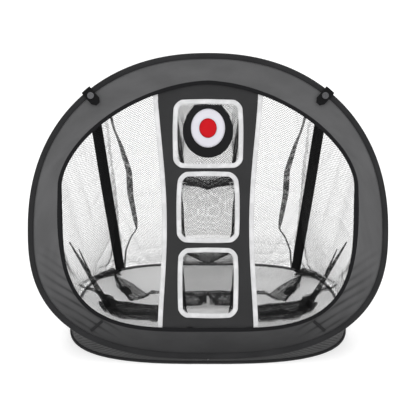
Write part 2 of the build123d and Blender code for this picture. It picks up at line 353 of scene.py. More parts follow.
def thicken(thing, thick):
    """Gives a sheet its thickness, half to each side."""
    solid = thing.modifiers.new("Thickness", "SOLIDIFY")
    solid.thickness = thick
    solid.offset = 0
    settle(thing)
    face_out(thing)
    return thing


def coordinates(thing):
    flat = np.zeros(len(thing.data.vertices) * 3, np.float32)
    thing.data.vertices.foreach_get("co", flat)
    return flat.reshape(-1, 3).astype(float)


def place(thing, points):
    thing.data.vertices.foreach_set("co", np.asarray(points, np.float32).ravel())
    thing.data.update()
    return thing


def drape(thing, pinned, frames, slack=0.0, weight=1.0):
    """Hangs a sheet from its pinned points under gravity, and keeps the result."""
    group = thing.vertex_groups.new(name="sewn")
    group.add([int(i) for i in pinned], 1.0, "REPLACE")
    cloth = thing.modifiers.new("Cloth", "CLOTH")
    settings = cloth.settings
    settings.vertex_group_mass = "sewn"
    settings.quality = 5
    settings.mass = 0.15
    settings.air_damping = 2.0
    settings.tension_stiffness = settings.compression_stiffness = 12
    settings.shear_stiffness = 4
    settings.bending_stiffness = 0.02
    settings.shrink_min = -slack
    settings.effector_weights.gravity = weight
    cloth.collision_settings.use_collision = False
    cloth.collision_settings.use_self_collision = False
    cloth.point_cache.frame_start, cloth.point_cache.frame_end = 1, frames
    scene = bpy.context.scene
    for step in range(1, frames + 1):
        scene.frame_set(step)
    settle(thing)
    thing.vertex_groups.clear()
    scene.frame_set(1)
    return thing


# Finishes


class Wire:
    """One value of a material, which plain arithmetic works on."""

    def __init__(self, maker, socket):
        self.maker, self.socket = maker, socket

    def _do(self, operation, left, right=None):
        inputs = {0: left} if right is None else {0: left, 1: right}
        return self.maker.node("ShaderNodeMath", {"operation": operation}, inputs)

    def __add__(self, other):
        return self._do("ADD", self, other)

    def __mul__(self, other):
        return self._do("MULTIPLY", self, other)

    def sine(self):
        return self._do("SINE", self)

    def size(self):
        return self._do("ABSOLUTE", self)

    def between(self, low, high):
        """0 below low, 1 above high, and smooth between."""
        return self.maker.node(
            "ShaderNodeMapRange",
            {"interpolation_type": "SMOOTHSTEP"},
            {"Value": self, "From Min": low, "From Max": high},
        )


class Finish:
    """A material under construction."""

    def __init__(self, name, **constants):
        self.material = bpy.data.materials.new(name)
        self.material.use_nodes = True
        self.tree = self.material.node_tree
        self.shader = self.tree.nodes["Principled BSDF"]
        for socket, value in constants.items():
            self.shader.inputs[socket.replace("_", " ")].default_value = value

    def node(self, kind, settings=None, inputs=None, output=0):
        node = self.tree.nodes.new(kind)
        for name, value in (settings or {}).items():
            setattr(node, name, value)
        for name, value in (inputs or {}).items():
            if isinstance(value, Wire):
                self.tree.links.new(value.socket, node.inputs[name])
            else:
                node.inputs[name].default_value = value
        return Wire(self, node.outputs[output])

    def cloth(self):
        """Across and along a piece's flat cloth, in metres."""
        where = self.node("ShaderNodeUVMap", {"uv_map": "Cloth"})
        apart = self.node("ShaderNodeSeparateXYZ", inputs={0: where})
        return where, apart, Wire(self, apart.socket.node.outputs[1])

    def blend(self, share, low, high):
        settings = {"data_type": "RGBA"}
        return self.node("ShaderNodeMix", settings, {"Factor": share, "A": (*low, 1), "B": (*high, 1)}, 2)

    def tint(self, colour, by):
        """One colour times another."""
        settings = {"data_type": "RGBA", "blend_type": "MULTIPLY"}
        return self.node("ShaderNodeMix", settings, {"Factor": 1.0, "A": colour, "B": by}, 2)

    def noise(self, where, scale, detail=3.0):
        return self.node("ShaderNodeTexNoise", inputs={"Vector": where, "Scale": scale, "Detail": detail})

    def feed(self, socket, wire):
        self.tree.links.new(wire.socket, self.shader.inputs[socket])

    def relief(self, height, distance):
        bump = self.node("ShaderNodeBump", inputs={"Height": height, "Distance": distance, "Strength": 0.8})
        self.feed("Normal", bump)


def shade(colour, times):
    return tuple(min(1.0, channel * times) for channel in colour)


def woven(name, colour, roughness=0.72, lighter=1.25, darker=0.8, shade_by_height=None, folds=False):
    """Plain woven cloth: threads over and under, with a slightly uneven dye, and optional painted shade
    towards the floor and in the creases.
    """
    finish = Finish(name, Sheen_Weight=0.02, Sheen_Roughness=0.5, Specular_IOR_Level=0.10)
    where, across, along = finish.cloth()
    turns = 2 * math.pi / sizes().weave
    warp, weft = (across * turns).sine(), (along * turns).sine()
    threads = warp * weft
    patches = finish.noise(where, 14.0)
    fibres = finish.noise(where, 900.0, 2.0)
    tone = patches.between(0.3, 0.7) * 0.6 + fibres * 0.3 + (threads * 0.5 + 0.5) * 0.25
    cloth = finish.blend(tone, shade(colour, darker), shade(colour, lighter))
    # Painted shade: the cloth is made darker towards the floor, where less light falls on it.
    if shade_by_height:
        place_of = finish.node("ShaderNodeTexCoord", output=3)
        apart = finish.node("ShaderNodeSeparateXYZ", inputs={0: place_of})
        height = Wire(finish, apart.socket.node.outputs[2])
        share = height.between(shade_by_height[0], shade_by_height[1])
        cloth = finish.tint(cloth, finish.blend(share, shade_by_height[2], shade_by_height[3]))
    # Painted shade in the creases: darker where a point lies deep in a fold, a little lighter elsewhere.
    if folds:
        depth = finish.node("ShaderNodeAttribute", {"attribute_name": "FoldShade"}, output=2)
        cloth = finish.tint(cloth, finish.blend(depth, (1.12, 1.12, 1.12), (0.42, 0.42, 0.42)))
    finish.feed("Base Color", cloth)
    finish.feed("Roughness", fibres * 0.15 + (roughness - 0.07))
    finish.relief(threads * 0.6 + fibres * 0.4, 0.00025)
    return finish.material


def ribbed(name, colour, rib=0.0016, roughness=0.8, lighter=1.5, specular=0.10, patches=0.0):
    """Webbing or binding tape: fine slanting ribs across the tape."""
    finish = Finish(name, Sheen_Weight=0.01, Sheen_Roughness=0.45, Specular_IOR_Level=specular)
    where, across, along = finish.cloth()
    turns = 2 * math.pi / rib
    slant = (across * turns + (along * (0.6 * turns)).size()).sine()
    fibres = finish.noise(where, 1500.0, 2.0)
    cloth = finish.blend(slant * 0.3 + fibres * 0.4 + 0.15, shade(colour, 0.75), shade(colour, lighter))
    # Painted shade: grey patches at random over the tape, standing in for the shade on the white tapes.
    if patches:
        shade_patches = finish.noise(where, 45.0).between(0.42, 0.62)
        low = shade((1.0, 1.0, 1.0), 1 - patches)
        cloth = finish.tint(cloth, finish.blend(shade_patches, low, (1.0, 1.0, 1.0)))
    finish.feed("Base Color", cloth)
    finish.feed("Roughness", fibres * 0.2 + (roughness - 0.1))
    finish.relief(slant * 0.5 + fibres * 0.3, 0.0003)
    return finish.material


def thread(name, colour, roughness=0.6):
    """Smooth twisted thread."""
    finish = Finish(name, Base_Color=(*colour, 1), Roughness=roughness, Specular_IOR_Level=0.3)
    return finish.material


def steel(name, colour, roughness, metallic=1.0, brush=700.0):
    """Metal with fine marks."""
    finish = Finish(name, Metallic=metallic)
    where = finish.node("ShaderNodeTexCoord", output=3)
    marks = finish.noise(where, brush)
    finish.feed("Base Color", finish.blend(marks, shade(colour, 0.85), shade(colour, 1.12)))
    finish.feed("Roughness", marks * 0.16 + (roughness - 0.08))
    return finish.material


_finishes = {}


def finish_of(name):
    """The material of that name, made once."""
    if name not in _finishes:
        tint = colours()
        makers = {
            # The band's cloth has painted shade: darker towards its bottom, and darker in its creases.
            "band_cloth": lambda: woven(
                name, tint.band, lighter=1.18, darker=0.86, folds=True,
                shade_by_height=(0.0, 0.17, (0.27, 0.27, 0.275), (0.93, 0.93, 0.94)),
            ),
            "panel_cloth": lambda: woven(name, tint.panel, lighter=1.15, darker=0.9),
            "sleeve_cloth": lambda: woven(name, tint.sleeve, lighter=1.3),
            # Painted shade: the band's cloth made darker for the gussets, which sit low between the band and
            # the floor hoop.
            "shaded_gusset_cloth": lambda: woven(name, shade(tint.band, 0.70), lighter=1.25, folds=True),
            "target_cloth": lambda: woven(name, shade(tint.binding, 0.9), roughness=0.65),
            "binding_tape": lambda: ribbed(name, tint.binding),
            "webbing": lambda: ribbed(name, tint.webbing, rib=0.0024, roughness=0.7),
            # The white tapes get random grey patches of painted shade.
            "white_tape": lambda: ribbed(
                name, tint.tape, rib=0.0012, lighter=1.06, roughness=0.75, patches=0.14
            ),
            "ring_print": lambda: woven(name, tint.ring, lighter=1.05, darker=0.95, roughness=0.55),
            "red_print": lambda: woven(name, tint.bullseye, lighter=1.1, darker=0.9, roughness=0.5),
            "netting": lambda: thread(name, tint.netting),
            "dark_thread": lambda: thread(name, shade(tint.binding, 1.4)),
            "pale_thread": lambda: thread(name, shade(tint.tape, 0.9)),
            "spring_steel": lambda: steel(name, (0.15, 0.15, 0.155), 0.5),
            "stud_metal": lambda: steel(name, (0.10, 0.10, 0.105), 0.28, brush=300.0),
        }
        _finishes[name] = makers[name]()
    return _finishes[name]


def dress(thing, finish):
    thing.data.materials.clear()
    thing.data.materials.append(finish_of(finish))
    return thing


def keep_shape(node, finish):
    """A CAD node whose shape is right gets its finish."""
    dress(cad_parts[node], finish)


# Geometry Nodes


class Tree:
    """A Geometry Nodes tree under construction."""

    def __init__(self, name, **numbers):
        self.group = bpy.data.node_groups.new(name, "GeometryNodeTree")
        self.sockets = {}
        face = self.group.interface
        face.new_socket("Geometry", in_out="INPUT", socket_type="NodeSocketGeometry")
        for label, value in numbers.items():
            kind = "NodeSocketInt" if isinstance(value, int) else "NodeSocketFloat"
            kind = "NodeSocketVector" if isinstance(value, tuple) else kind
            socket = face.new_socket(label, in_out="INPUT", socket_type=kind)
            socket.default_value = value
            self.sockets[label] = socket.identifier
        self.sockets["Finish"] = face.new_socket(
            "Finish", in_out="INPUT", socket_type="NodeSocketMaterial"
        ).identifier
        face.new_socket("Geometry", in_out="OUTPUT", socket_type="NodeSocketGeometry")
        self.given = self.group.nodes.new("NodeGroupInput").outputs

    def node(self, kind, settings=None, inputs=None, output=0):
        node = self.group.nodes.new(kind)
        for name, value in (settings or {}).items():
            setattr(node, name, value)
        for name, value in (inputs or {}).items():
            if isinstance(value, bpy.types.NodeSocket):
                self.group.links.new(value, node.inputs[name])
            else:
                node.inputs[name].default_value = value
        return node.outputs[output]

    def end(self, geometry_socket):
        whole = self.node("GeometryNodeRealizeInstances", inputs={0: geometry_socket})
        painted = self.node(
            "GeometryNodeSetMaterial", inputs={"Geometry": whole, "Material": self.given["Finish"]}
        )
        self.group.links.new(painted, self.group.nodes.new("NodeGroupOutput").inputs[0])
        return self

    def run(self, thing, finish, **values):
        """Runs the tree on a piece and keeps the result as plain mesh."""
        modifier = thing.modifiers.new(self.group.name, "NODES")
        modifier.node_group = self.group
        for label, value in values.items():
            modifier[self.sockets[label]] = value
        modifier[self.sockets["Finish"]] = finish_of(finish)
        return settle(thing)


_trees = {}


def netting_tree():
    """Knitted mesh on a sheet: a slanting lattice of threads, laid over the sheet by its UV map."""
    if "netting" in _trees:
        return _trees["netting"]
    tree = Tree("Netting", Cell=0.004, Thread=0.0006, Span=1.0, Middle=(0.0, 0.0, 0.0), Slant=NET_SLANT)
    given = tree.given
    steps = tree.node("ShaderNodeMath", {"operation": "DIVIDE"}, {0: given["Span"], 1: given["Cell"]})
    count = tree.node("FunctionNodeFloatToInt", {"rounding_mode": "CEILING"}, {0: steps})
    lattice = tree.node(
        "GeometryNodeMeshGrid",
        inputs={"Size X": given["Span"], "Size Y": given["Span"], "Vertices X": count, "Vertices Y": count},
    )
    here = tree.node("GeometryNodeInputPosition")
    turned = tree.node(
        "ShaderNodeVectorRotate",
        {"rotation_type": "Z_AXIS"},
        {"Vector": here, "Angle": given["Slant"]},
    )
    flat = tree.node("ShaderNodeVectorMath", {"operation": "ADD"}, {0: turned, 1: given["Middle"]})
    sheet_place = tree.node("GeometryNodeInputPosition")
    chart = tree.node("GeometryNodeInputNamedAttribute", {"data_type": "FLOAT_VECTOR"}, {"Name": "Cloth"})
    sampler = {"data_type": "FLOAT_VECTOR"}
    wires = {"Mesh": given["Geometry"], "Value": sheet_place, "UV Map": chart, "Sample UV": flat}
    landed = tree.node("GeometryNodeSampleUVSurface", sampler, wires)
    inside = landed.node.outputs["Is Valid"]
    outside = tree.node("FunctionNodeBooleanMath", {"operation": "NOT"}, {0: inside})
    trimmed = tree.node(
        "GeometryNodeDeleteGeometry", {"domain": "POINT"}, {"Geometry": lattice, "Selection": outside}
    )
    laid = tree.node("GeometryNodeSetPosition", inputs={"Geometry": trimmed, "Position": landed})
    lines = tree.node("GeometryNodeMeshToCurve", inputs={0: laid})
    radius = tree.node("ShaderNodeMath", {"operation": "MULTIPLY"}, {0: given["Thread"], 1: 0.5})
    profile = tree.node("GeometryNodeCurvePrimitiveCircle", inputs={"Resolution": 3, "Radius": radius})
    threads = tree.node(
        "GeometryNodeCurveToMesh", inputs={"Curve": lines, "Profile Curve": profile, "Fill Caps": False}
    )
    _trees["netting"] = tree.end(threads)
    return tree


def stitch_tree():
    """A row of stitches along each line of a piece."""
    if "stitches" in _trees:
        return _trees["stitches"]
    tree = Tree("Stitches", Pitch=0.0034, Thread=0.0005)
    given = tree.given
    half = tree.node("ShaderNodeMath", {"operation": "MULTIPLY"}, {0: given["Pitch"], 1: 0.5})
    lines = tree.node("GeometryNodeMeshToCurve", inputs={0: given["Geometry"]})
    even = tree.node("GeometryNodeResampleCurve", {"mode": "LENGTH"}, {"Curve": lines, "Length": half})
    edges = tree.node("GeometryNodeCurveToMesh", inputs={"Curve": even})
    number = tree.node("GeometryNodeInputIndex")
    parity = tree.node("ShaderNodeMath", {"operation": "MODULO"}, {0: number, 1: 2.0})
    gaps = tree.node(
        "GeometryNodeDeleteGeometry", {"domain": "EDGE"}, {"Geometry": edges, "Selection": parity}
    )
    dashes = tree.node("GeometryNodeMeshToCurve", inputs={0: gaps})
    radius = tree.node("ShaderNodeMath", {"operation": "MULTIPLY"}, {0: given["Thread"], 1: 0.5})
    profile = tree.node("GeometryNodeCurvePrimitiveCircle", inputs={"Resolution": 5, "Radius": radius})
    threads = tree.node(
        "GeometryNodeCurveToMesh", inputs={"Curve": dashes, "Profile Curve": profile, "Fill Caps": True}
    )
    _trees["stitches"] = tree.end(threads)
    return tree


def knit(sheet_piece, cell_times=1.0, thread_times=1.0):
    """Turns a sheet with a flat UV map into netting."""
    layer = sheet_piece.data.uv_layers["Cloth"]
    flat = np.zeros(len(layer.data) * 2, np.float32)
    layer.data.foreach_get("uv", flat)
    low, high = flat.reshape(-1, 2).min(0), flat.reshape(-1, 2).max(0)
    span = float(np.linalg.norm(high - low)) * 1.01
    middle = (low + high) / 2
    netting_tree().run(
        sheet_piece,
        "netting",
        Cell=sizes().mesh_cell * cell_times,
        Thread=sizes().mesh_thread * thread_times,
        Span=span,
        Middle=(float(middle[0]), float(middle[1]), 0.0),
        Slant=NET_SLANT,
    )
    return sheet_piece


def stitches(name, lines, finish="dark_thread", closed=False, pitch=1.0, heavy=1.0):
    """Rows of stitches along lines of points in the room."""
    points, edges = [], []
    for line in lines:
        start = len(points)
        points += [tuple(p) for p in line]
        edges += [(start + i, start + i + 1) for i in range(len(line) - 1)]
        if closed:
            edges.append((len(points) - 1, start))
    mesh = bpy.data.meshes.new(name)
    mesh.from_pydata(points, edges, [])
    thing = new_object(name, mesh)
    stitch_tree().run(
        thing, finish, Pitch=sizes().stitch_pitch * pitch, Thread=sizes().stitch_thread * heavy
    )
    return thing


# Measuring sheets, baking places and hiding CAD parts


def surface_area(thing):
    """Area of a sheet before it is knitted or thickened, in square metres."""
    work = bmesh.new()
    work.from_mesh(thing.data)
    total = sum(face.calc_area() for face in work.faces)
    work.free()
    return total


def fan(thing):
    """The piece spans from the floor hoop to the front hoop; its place is baked into its mesh."""
    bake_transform(thing)
    points = coordinates(thing)
    return thing


def declare(thing, slot, *nodes):
    if nodes:
        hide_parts(*nodes)
    return thing


def extent(thing):
    """Width and length of a piece's flat cloth."""
    layer = thing.data.uv_layers["Cloth"]
    flat = np.zeros(len(layer.data) * 2, np.float32)
    layer.data.foreach_get("uv", flat)
    size = np.ptp(flat.reshape(-1, 2), axis=0)
    return float(size[0]), float(size[1])


# Front frame


def oval_frame(oval, inset, count, out=0.0):
    """A closed line round an oval on the front, with its outward and forward directions."""
    degrees = np.linspace(0, 360, count, endpoint=False)
    flat = oval_point(oval, inset, degrees)
    tangent = unit(np.roll(flat, -1, 0) - np.roll(flat, 1, 0))
    outward = np.stack([tangent[:, 1], -tangent[:, 0]], -1)
    line = np.concatenate([flat, np.full((count, 1), out)], -1)
    ahead = np.zeros((count, 3))
    ahead[:, 2] = 1
    return degrees, line, np.concatenate([outward, np.zeros((count, 1))], -1), ahead


def to_front(thing):
    return place(thing, on_front(coordinates(thing)))


def left_angle(degrees):
    """Angles round an oval as they'd be on its left half."""
    degrees = np.asarray(degrees, float) % 360
    return np.where((degrees > 90) & (degrees < 270), degrees, (180 - degrees) % 360)


def corner_folds(flat):
    """Depth, 0 to 1, of the folds across the band's lower corners, where the floor hoop pulls at it."""
    side, up = np.abs(flat[..., 0]), flat[..., 1]
    even = np.stack([side, up, 0 * up], -1)
    across = 0.848 * up - 0.53 * side + 0.004 * ripple(even, 0.07, 3.0)
    valley = (0.5 + 0.5 * np.cos(2 * math.pi * across / 0.0145)) ** 4
    depth = 0.65 + 0.45 * ripple(even * (1.0, 1.6, 1.0), 0.035, 6.0)
    window = np.clip((0.225 - up) / 0.09, 0, 1) * np.clip((up - 0.035) / 0.02, 0, 1)
    return valley * np.clip(depth, 0, 1) * window * np.clip((side - 0.16) / 0.04, 0, 1)


def make_front_cloth():
    """Sleeve over the front hoop, the wide band and the tape round the mouth."""
    wide = sizes().sleeve_width
    make_front_sleeve(wide)
    make_front_band(wide)
    width = sizes().binding_width
    make_mouth_binding(width)
    rows = []
    for oval, inset, out in (
        (FRONT, wide - 0.0018, 0.0029), (FRONT, wide + 0.0012, 0.0010), (MOUTH, -width + 0.0012, 0.0017)
    ):
        rows.append(on_front(oval_frame(oval, inset, 520, out)[1]))
    sewing = stitches("front_stitches", rows, closed=True)
    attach(declare(sewing, "black_cloth"), "front_frame")


def make_front_sleeve(wide):
    """The narrow tube of cloth over the steel hoop."""
    count = 520
    _, line, outward, ahead = oval_frame(FRONT, wide / 2 + 0.0002, count)
    puff = 1 + 0.10 * ripple(line, 0.012, 2.0) + 0.06 * ripple(line, 0.05, 4.0)
    sleeve = sweep(
        "front_sleeve_cloth", line, outward, ahead * puff[:, None], pillow(wide, 0.0068), closed=True
    )
    dress(to_front(sleeve), "sleeve_cloth")
    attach(declare(sleeve, "black_cloth", "front_sleeve"), "front_frame")


def make_front_band(wide):
    """The wide ring of cloth between the sleeve and the mouth, creased at its lower corners."""
    degrees = np.linspace(0, 360, 840, endpoint=False)
    outer = oval_point(FRONT, wide - 0.0010, degrees)
    inner = oval_point(MOUTH, -0.0035, degrees)
    share = np.linspace(0, 1, 26)[:, None]
    flat = outer[None] * (1 - share[..., None]) + inner[None] * share[..., None]
    points = np.concatenate([flat, np.zeros(flat.shape[:2] + (1,))], -1)
    folds = corner_folds(flat)
    broad = ripple(points, 0.09, 8.0)
    fade = np.minimum(1, 5 * np.minimum(share, 1 - share))
    points[..., 2] = (0.0011 * broad + 0.0003 * ripple(points, 0.03, 5.0) - 0.0019 * folds) * fade + 0.0004
    band = cloth_grid("front_band_cloth", points, wrap=True)
    # The fold depth darkens the band's colour here: painted shade in its creases.
    mark_fold_shade(band, folds * fade)
    area = surface_area(band)
    thicken(to_front(band), CLOTH_THICK)
    dress(band, "band_cloth")
    declare(band, "grey_cloth", "front_band")
    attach(band, "front_frame")


def make_mouth_binding(width):
    """Dark tape folded over the mouth's edge, gathered where the floor hoop's cloth meets it."""
    degrees, line, outward, ahead = oval_frame(MOUTH, -width / 2, 640)
    gathered = np.exp(-(((left_angle(degrees) - 193) / 11) ** 2))
    pleats = np.abs(np.sin(np.arange(640) * 1.35)) * gathered
    swell = 1 + 0.35 * pleats + 0.08 * ripple(line, 0.02, 6.0)
    wider = 1 + 0.30 * gathered + 0.12 * pleats + 0.06 * ripple(line, 0.05, 7.0)
    binding = sweep(
        "mouth_binding_tape", line, outward * wider[:, None], ahead * swell[:, None],
        tape(width, 0.0030, fuller_edges=0.3), closed=True,
    )
    dress(to_front(binding), "binding_tape")
    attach(declare(binding, "black_cloth", "mouth_binding"), "front_frame")


def mark_fold_shade(thing, depth):
    """Stores how deep each point lies in a fold, for the painted shade in the cloth's creases."""
    layer = thing.data.attributes.new("FoldShade", "FLOAT", "POINT")
    layer.data.foreach_set("value", np.clip(depth, 0, 1).astype(np.float32).ravel())


PANEL_SIDE = ((0.545, 0.107), (0.366, 0.094), (0.285, 0.0895), (0.185, 0.091), (0.050, 0.098))


def panel_half_width(up):
    """Half the centre panel's width at a height, along its waisted side."""
    heights, widths = np.array(PANEL_SIDE)[::-1].T
    fit = np.polyfit(heights, widths, 4)
    return np.polyval(fit, up)


def rounded_rectangle(width, height, corner, count=96, squash_top=0.0):
    """A closed outline with round corners; squash_top draws its top corners in."""
    half = np.array([width / 2 - corner, height / 2 - corner])
    angle = np.linspace(0, 2 * math.pi, count, endpoint=False)
    direction = np.stack([np.cos(angle), np.sin(angle)], -1)
    outline = np.sign(direction) * half * np.minimum(1, 3.2 * np.abs(direction)) + corner * direction
    if squash_top:
        rise = np.clip(outline[:, 1] / (height / 2), 0, 1) ** 3
        outline[:, 0] *= 1 - squash_top * rise
    return outline


def inside_oval(oval, inset, flat):
    across, along = flat[:, 0], flat[:, 1] - oval.centre
    height = np.where(along >= 0, oval.up, oval.down) - inset
    power = np.where(along >= 0, oval.up_power, oval.down_power)
    return np.abs(across / (oval.half_width - inset)) ** power + np.abs(along / height) ** power < 1


def flat_sheet(name, boundary, holes, spacing, inside):
    """A flat sheet of small triangles inside a boundary line, with holes."""
    rng = np.random.default_rng(7)
    points, edges = [], []
    for loop in (boundary, *holes):
        start = len(points)
        points += [tuple(p) for p in loop]
        edges += [(start + i, start + (i + 1) % len(loop)) for i in range(len(loop))]
    low, high = boundary.min(0), boundary.max(0)
    grid = np.stack(np.meshgrid(np.arange(low[0], high[0], spacing), np.arange(low[1], high[1], spacing)), -1)
    grid = grid.reshape(-1, 2) + rng.uniform(-0.2, 0.2, (grid.size // 2, 2)) * spacing
    edge_points = np.array(points)
    gap = np.array([np.min(np.sum((edge_points - p) ** 2, 1)) for p in grid])
    grid = grid[inside(grid) & (gap > (0.6 * spacing) ** 2)]
    points += [tuple(p) for p in grid]
    result = geometry.delaunay_2d_cdt([Vector(p) for p in points], edges, [], 0, 1e-7)
    verts = np.array([tuple(v) for v in result[0]])
    faces = [f for f in result[2] if inside(np.array([verts[list(f)].mean(0)]))[0]]
    mesh = bpy.data.meshes.new(name)
    mesh.from_pydata([(x, y, 0.0) for x, y in verts], [], faces)
    layer = mesh.uv_layers.new(name="Cloth")
    for loop in mesh.loops:
        layer.data[loop.index].uv = verts[loop.vertex_index]
    mesh.shade_smooth()
    thing = new_object(name, mesh)
    work = bmesh.new()
    work.from_mesh(mesh)
    loose = [v for v in work.verts if not v.link_faces]
    bmesh.ops.delete(work, geom=loose, context="VERTS")
    work.to_mesh(mesh)
    work.free()
    return thing


def make_centre_panel():
    """Dark centre panel, its white side tapes and the trims of the three pockets."""
    openings = [
        rounded_rectangle(wide - 0.0108, high - 0.0108, 0.019) + (0, height)
        for _, height, wide, high in POCKETS
    ]
    steps = np.linspace(PANEL_FOOT, 0.525, 92)
    half = panel_half_width(steps) - PANEL_HEM
    right = np.stack([half, steps], -1)
    right = right[inside_oval(MOUTH, -PANEL_LAP, right)]
    top = right[-1]
    crown = np.linspace(top[0], -top[0], 24)[1:-1]
    bend = MOUTH.up_power
    fall = (1 - np.abs(crown / (MOUTH.half_width + PANEL_LAP)) ** bend) ** (1 / bend)
    arch = MOUTH.centre + (MOUTH.up + PANEL_LAP) * fall
    left = right[::-1] * (-1, 1)
    boundary = np.concatenate([right, np.stack([crown, arch], -1), left])

    def inside(flat):
        keep = np.abs(flat[:, 0]) < panel_half_width(flat[:, 1]) - PANEL_HEM
        keep &= inside_oval(MOUTH, -PANEL_LAP, flat) & (flat[:, 1] > steps[0])
        for outline in openings:
            keep &= ~inside_polygon(outline, flat)
        return keep

    panel = flat_sheet("centre_panel_cloth", boundary, openings, 0.006, inside)
    points = coordinates(panel)
    points[:, 2] = PANEL_OUT + 0.0009 * ripple(points, 0.05, 1.0) + 0.0004 * ripple(points, 0.02, 9.0)
    place(panel, points)
    area = surface_area(panel)
    thicken(to_front(panel), CLOTH_THICK)
    dress(panel, "panel_cloth")
    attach(declare(panel, "grey_cloth", "centre_panel"), "front_frame")

    seams = make_panel_tapes(sizes().tape_width) + make_pocket_trims(sizes().tape_width)
    sewing = stitches("panel_stitches", seams, "pale_thread", heavy=0.9)
    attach(declare(sewing, "white_tape"), "front_frame")


def make_panel_tapes(width):
    """White tape down each side of the panel; returns the lines they are sewn along."""
    seams = []
    for name, side in SIDES:
        up = np.linspace(0.0550, 0.5340, 130)
        across = panel_half_width(up) - width / 2
        keep = inside_oval(MOUTH, -PANEL_LAP, np.stack([across + width / 2, up], -1))
        up, across = up[keep], across[keep]
        line = np.stack([side * across, up, np.full(len(up), PANEL_OUT)], -1)
        tangent = unit(np.gradient(line, axis=0))
        outward = np.stack([tangent[:, 1], -tangent[:, 0], 0 * up], -1)
        ahead = np.zeros_like(line)
        ahead[:, 2] = 1 + 0.10 * ripple(line, 0.015, 3.0 + side)
        strip = sweep(f"panel_side_tape_{name}", line, outward, ahead, tape(width, 0.0026, fuller_edges=0.25))
        dress(to_front(strip), "white_tape")
        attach(declare(strip, "white_tape", f"panel_tape_{name}"), "front_frame")
        seams.append(on_front(line - (side * (width / 2 - 0.0014), 0, -0.0013)))
    return seams


def make_pocket_trims(width):
    """White tape round each pocket's mouth; returns the lines they are sewn along."""
    seams = []
    for name, height, wide, high in POCKETS:
        drawn_in = 0.06 if name == "middle" else 0.02
        outline = rounded_rectangle(wide - width, high - width, 0.0198, 120, drawn_in)
        wobble = 1 + 0.006 * ripple(np.append(outline, np.full((120, 1), height), 1), 0.04, 4.0)
        flat = outline * wobble[:, None] + (0, height)
        line = np.append(flat, np.full((120, 1), PANEL_OUT), 1)
        tangent = unit(np.roll(line, -1, 0) - np.roll(line, 1, 0))
        outward = np.stack([tangent[:, 1], -tangent[:, 0], 0 * tangent[:, 0]], -1)
        ahead = np.zeros_like(line)
        ahead[:, 2] = 1 + 0.16 * ripple(line, 0.012, 7.0)
        trim = sweep(
            f"pocket_trim_{name}_tape", line, outward, ahead,
            tape(width, 0.0030, fuller_edges=0.3), closed=True,
        )
        dress(to_front(trim), "white_tape")
        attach(declare(trim, "white_tape", f"pocket_trim_{name}"), "front_frame")
        sewn = line + outward * (width / 2 - 0.0014) + (0, 0, 0.0015)
        seams.append(on_front(np.concatenate([sewn, sewn[:1]])))
    return seams


def inside_polygon(outline, flat):
    """Which points lie inside a closed outline."""
    x, y = flat[:, 0], flat[:, 1]
    inside = np.zeros(len(flat), bool)
    for (ax, ay), (bx, by) in zip(outline, np.roll(outline, -1, 0)):
        crosses = (ay > y) != (by > y)
        slope = (bx - ax) / (by - ay) if by != ay else 0.0
        inside ^= crosses & (x < ax + (y - ay) * slope)
    return inside


# how much each bag widens towards its bottom, how late it closes, and how far it falls and droops
BAG_SHAPES = {
    "top": (-0.12, 2.4, 0.045, 0.018),
    "middle": (0.24, 1.5, 0.040, 0.012),
    "bottom": (0.24, 1.5, 0.040, 0.012),
}


def make_pockets():
    """Mesh bags behind the three trims, hanging from them, and the slack folded along their bottoms."""
    ahead = on_front([[0, 0, 1]])[0] - on_front([[0, 0, 0]])[0]
    for name, height, wide, high in POCKETS:
        mouth = rounded_rectangle(wide - 0.009, high - 0.009, 0.018, 96)
        flare, closing, fall, droop = BAG_SHAPES[name]
        rows = []
        depth = 24
        for i in range(depth + 1):
            share = i / depth
            close = max(0.0, (share - 0.35) / 0.65) ** closing
            across = mouth[:, 0] * (1 + flare * min(1.0, 1.6 * share))
            up = mouth[:, 1] * (1 - 0.94 * close) - fall * share - droop * close
            out = np.full(96, -0.0030 - POCKET_DEPTH * share)
            rows.append(np.stack([across, up + height, out], -1))
        points = on_front(np.array(rows))
        around = lengths(rows[0], True)
        down = np.linspace(0, 0.115, depth + 1)
        uv = np.stack(np.broadcast_arrays(around[None, :], down[:, None]), -1)
        bag = cloth_grid(f"pocket_bag_{name}", points, wrap=True, uv=uv)
        area = surface_area(bag)
        drape(bag, range(96), 12, slack=0.004, weight=0.3)
        knit(bag, 0.56, 0.88)
        declare(bag, "netting", f"pocket_net_{name}")
        fold_flat(bag)
    make_pocket_folds(ahead)


def fold_flat(piece):
    """The piece rides the front frame, on a mesh of its own."""
    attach(piece, "front_frame")
    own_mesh(piece)


# name, then the folds: line of (across, up), width at its ends and middle, and layers of mesh
POCKET_FOLDS = (
    ("top", (
        (((-0.052, 0.347), (0.0, 0.342), (0.052, 0.347)), 0.019, 0.021, 2, 0.55),
        (((-0.052, 0.341), (-0.025, 0.338), (0.0, 0.333), (0.025, 0.338),
          (0.052, 0.341)), 0.0045, 0.006, 3, 0.36),
        (((-0.052, 0.355), (-0.03, 0.3545), (0.0, 0.339), (0.03, 0.3545),
          (0.052, 0.355)), 0.003, 0.003, 3, 0.36),
        (((-0.050, 0.347), (-0.028, 0.3425), (0.0, 0.349), (0.028, 0.3425),
          (0.050, 0.347)), 0.002, 0.002, 3, 0.36),
    )),
    ("middle", (
        (((-0.052, 0.198), (0.052, 0.198)), 0.031, 0.031, 1, 0.6),
        (((-0.052, 0.1838), (0.0, 0.1828), (0.052, 0.1838)), 0.0018, 0.0018, 3, 0.36),
        (((-0.037, 0.2075), (-0.010, 0.2068)), 0.0022, 0.0022, 3, 0.36),
        (((0.010, 0.2068), (0.037, 0.2075)), 0.0022, 0.0022, 3, 0.36),
    )),
)


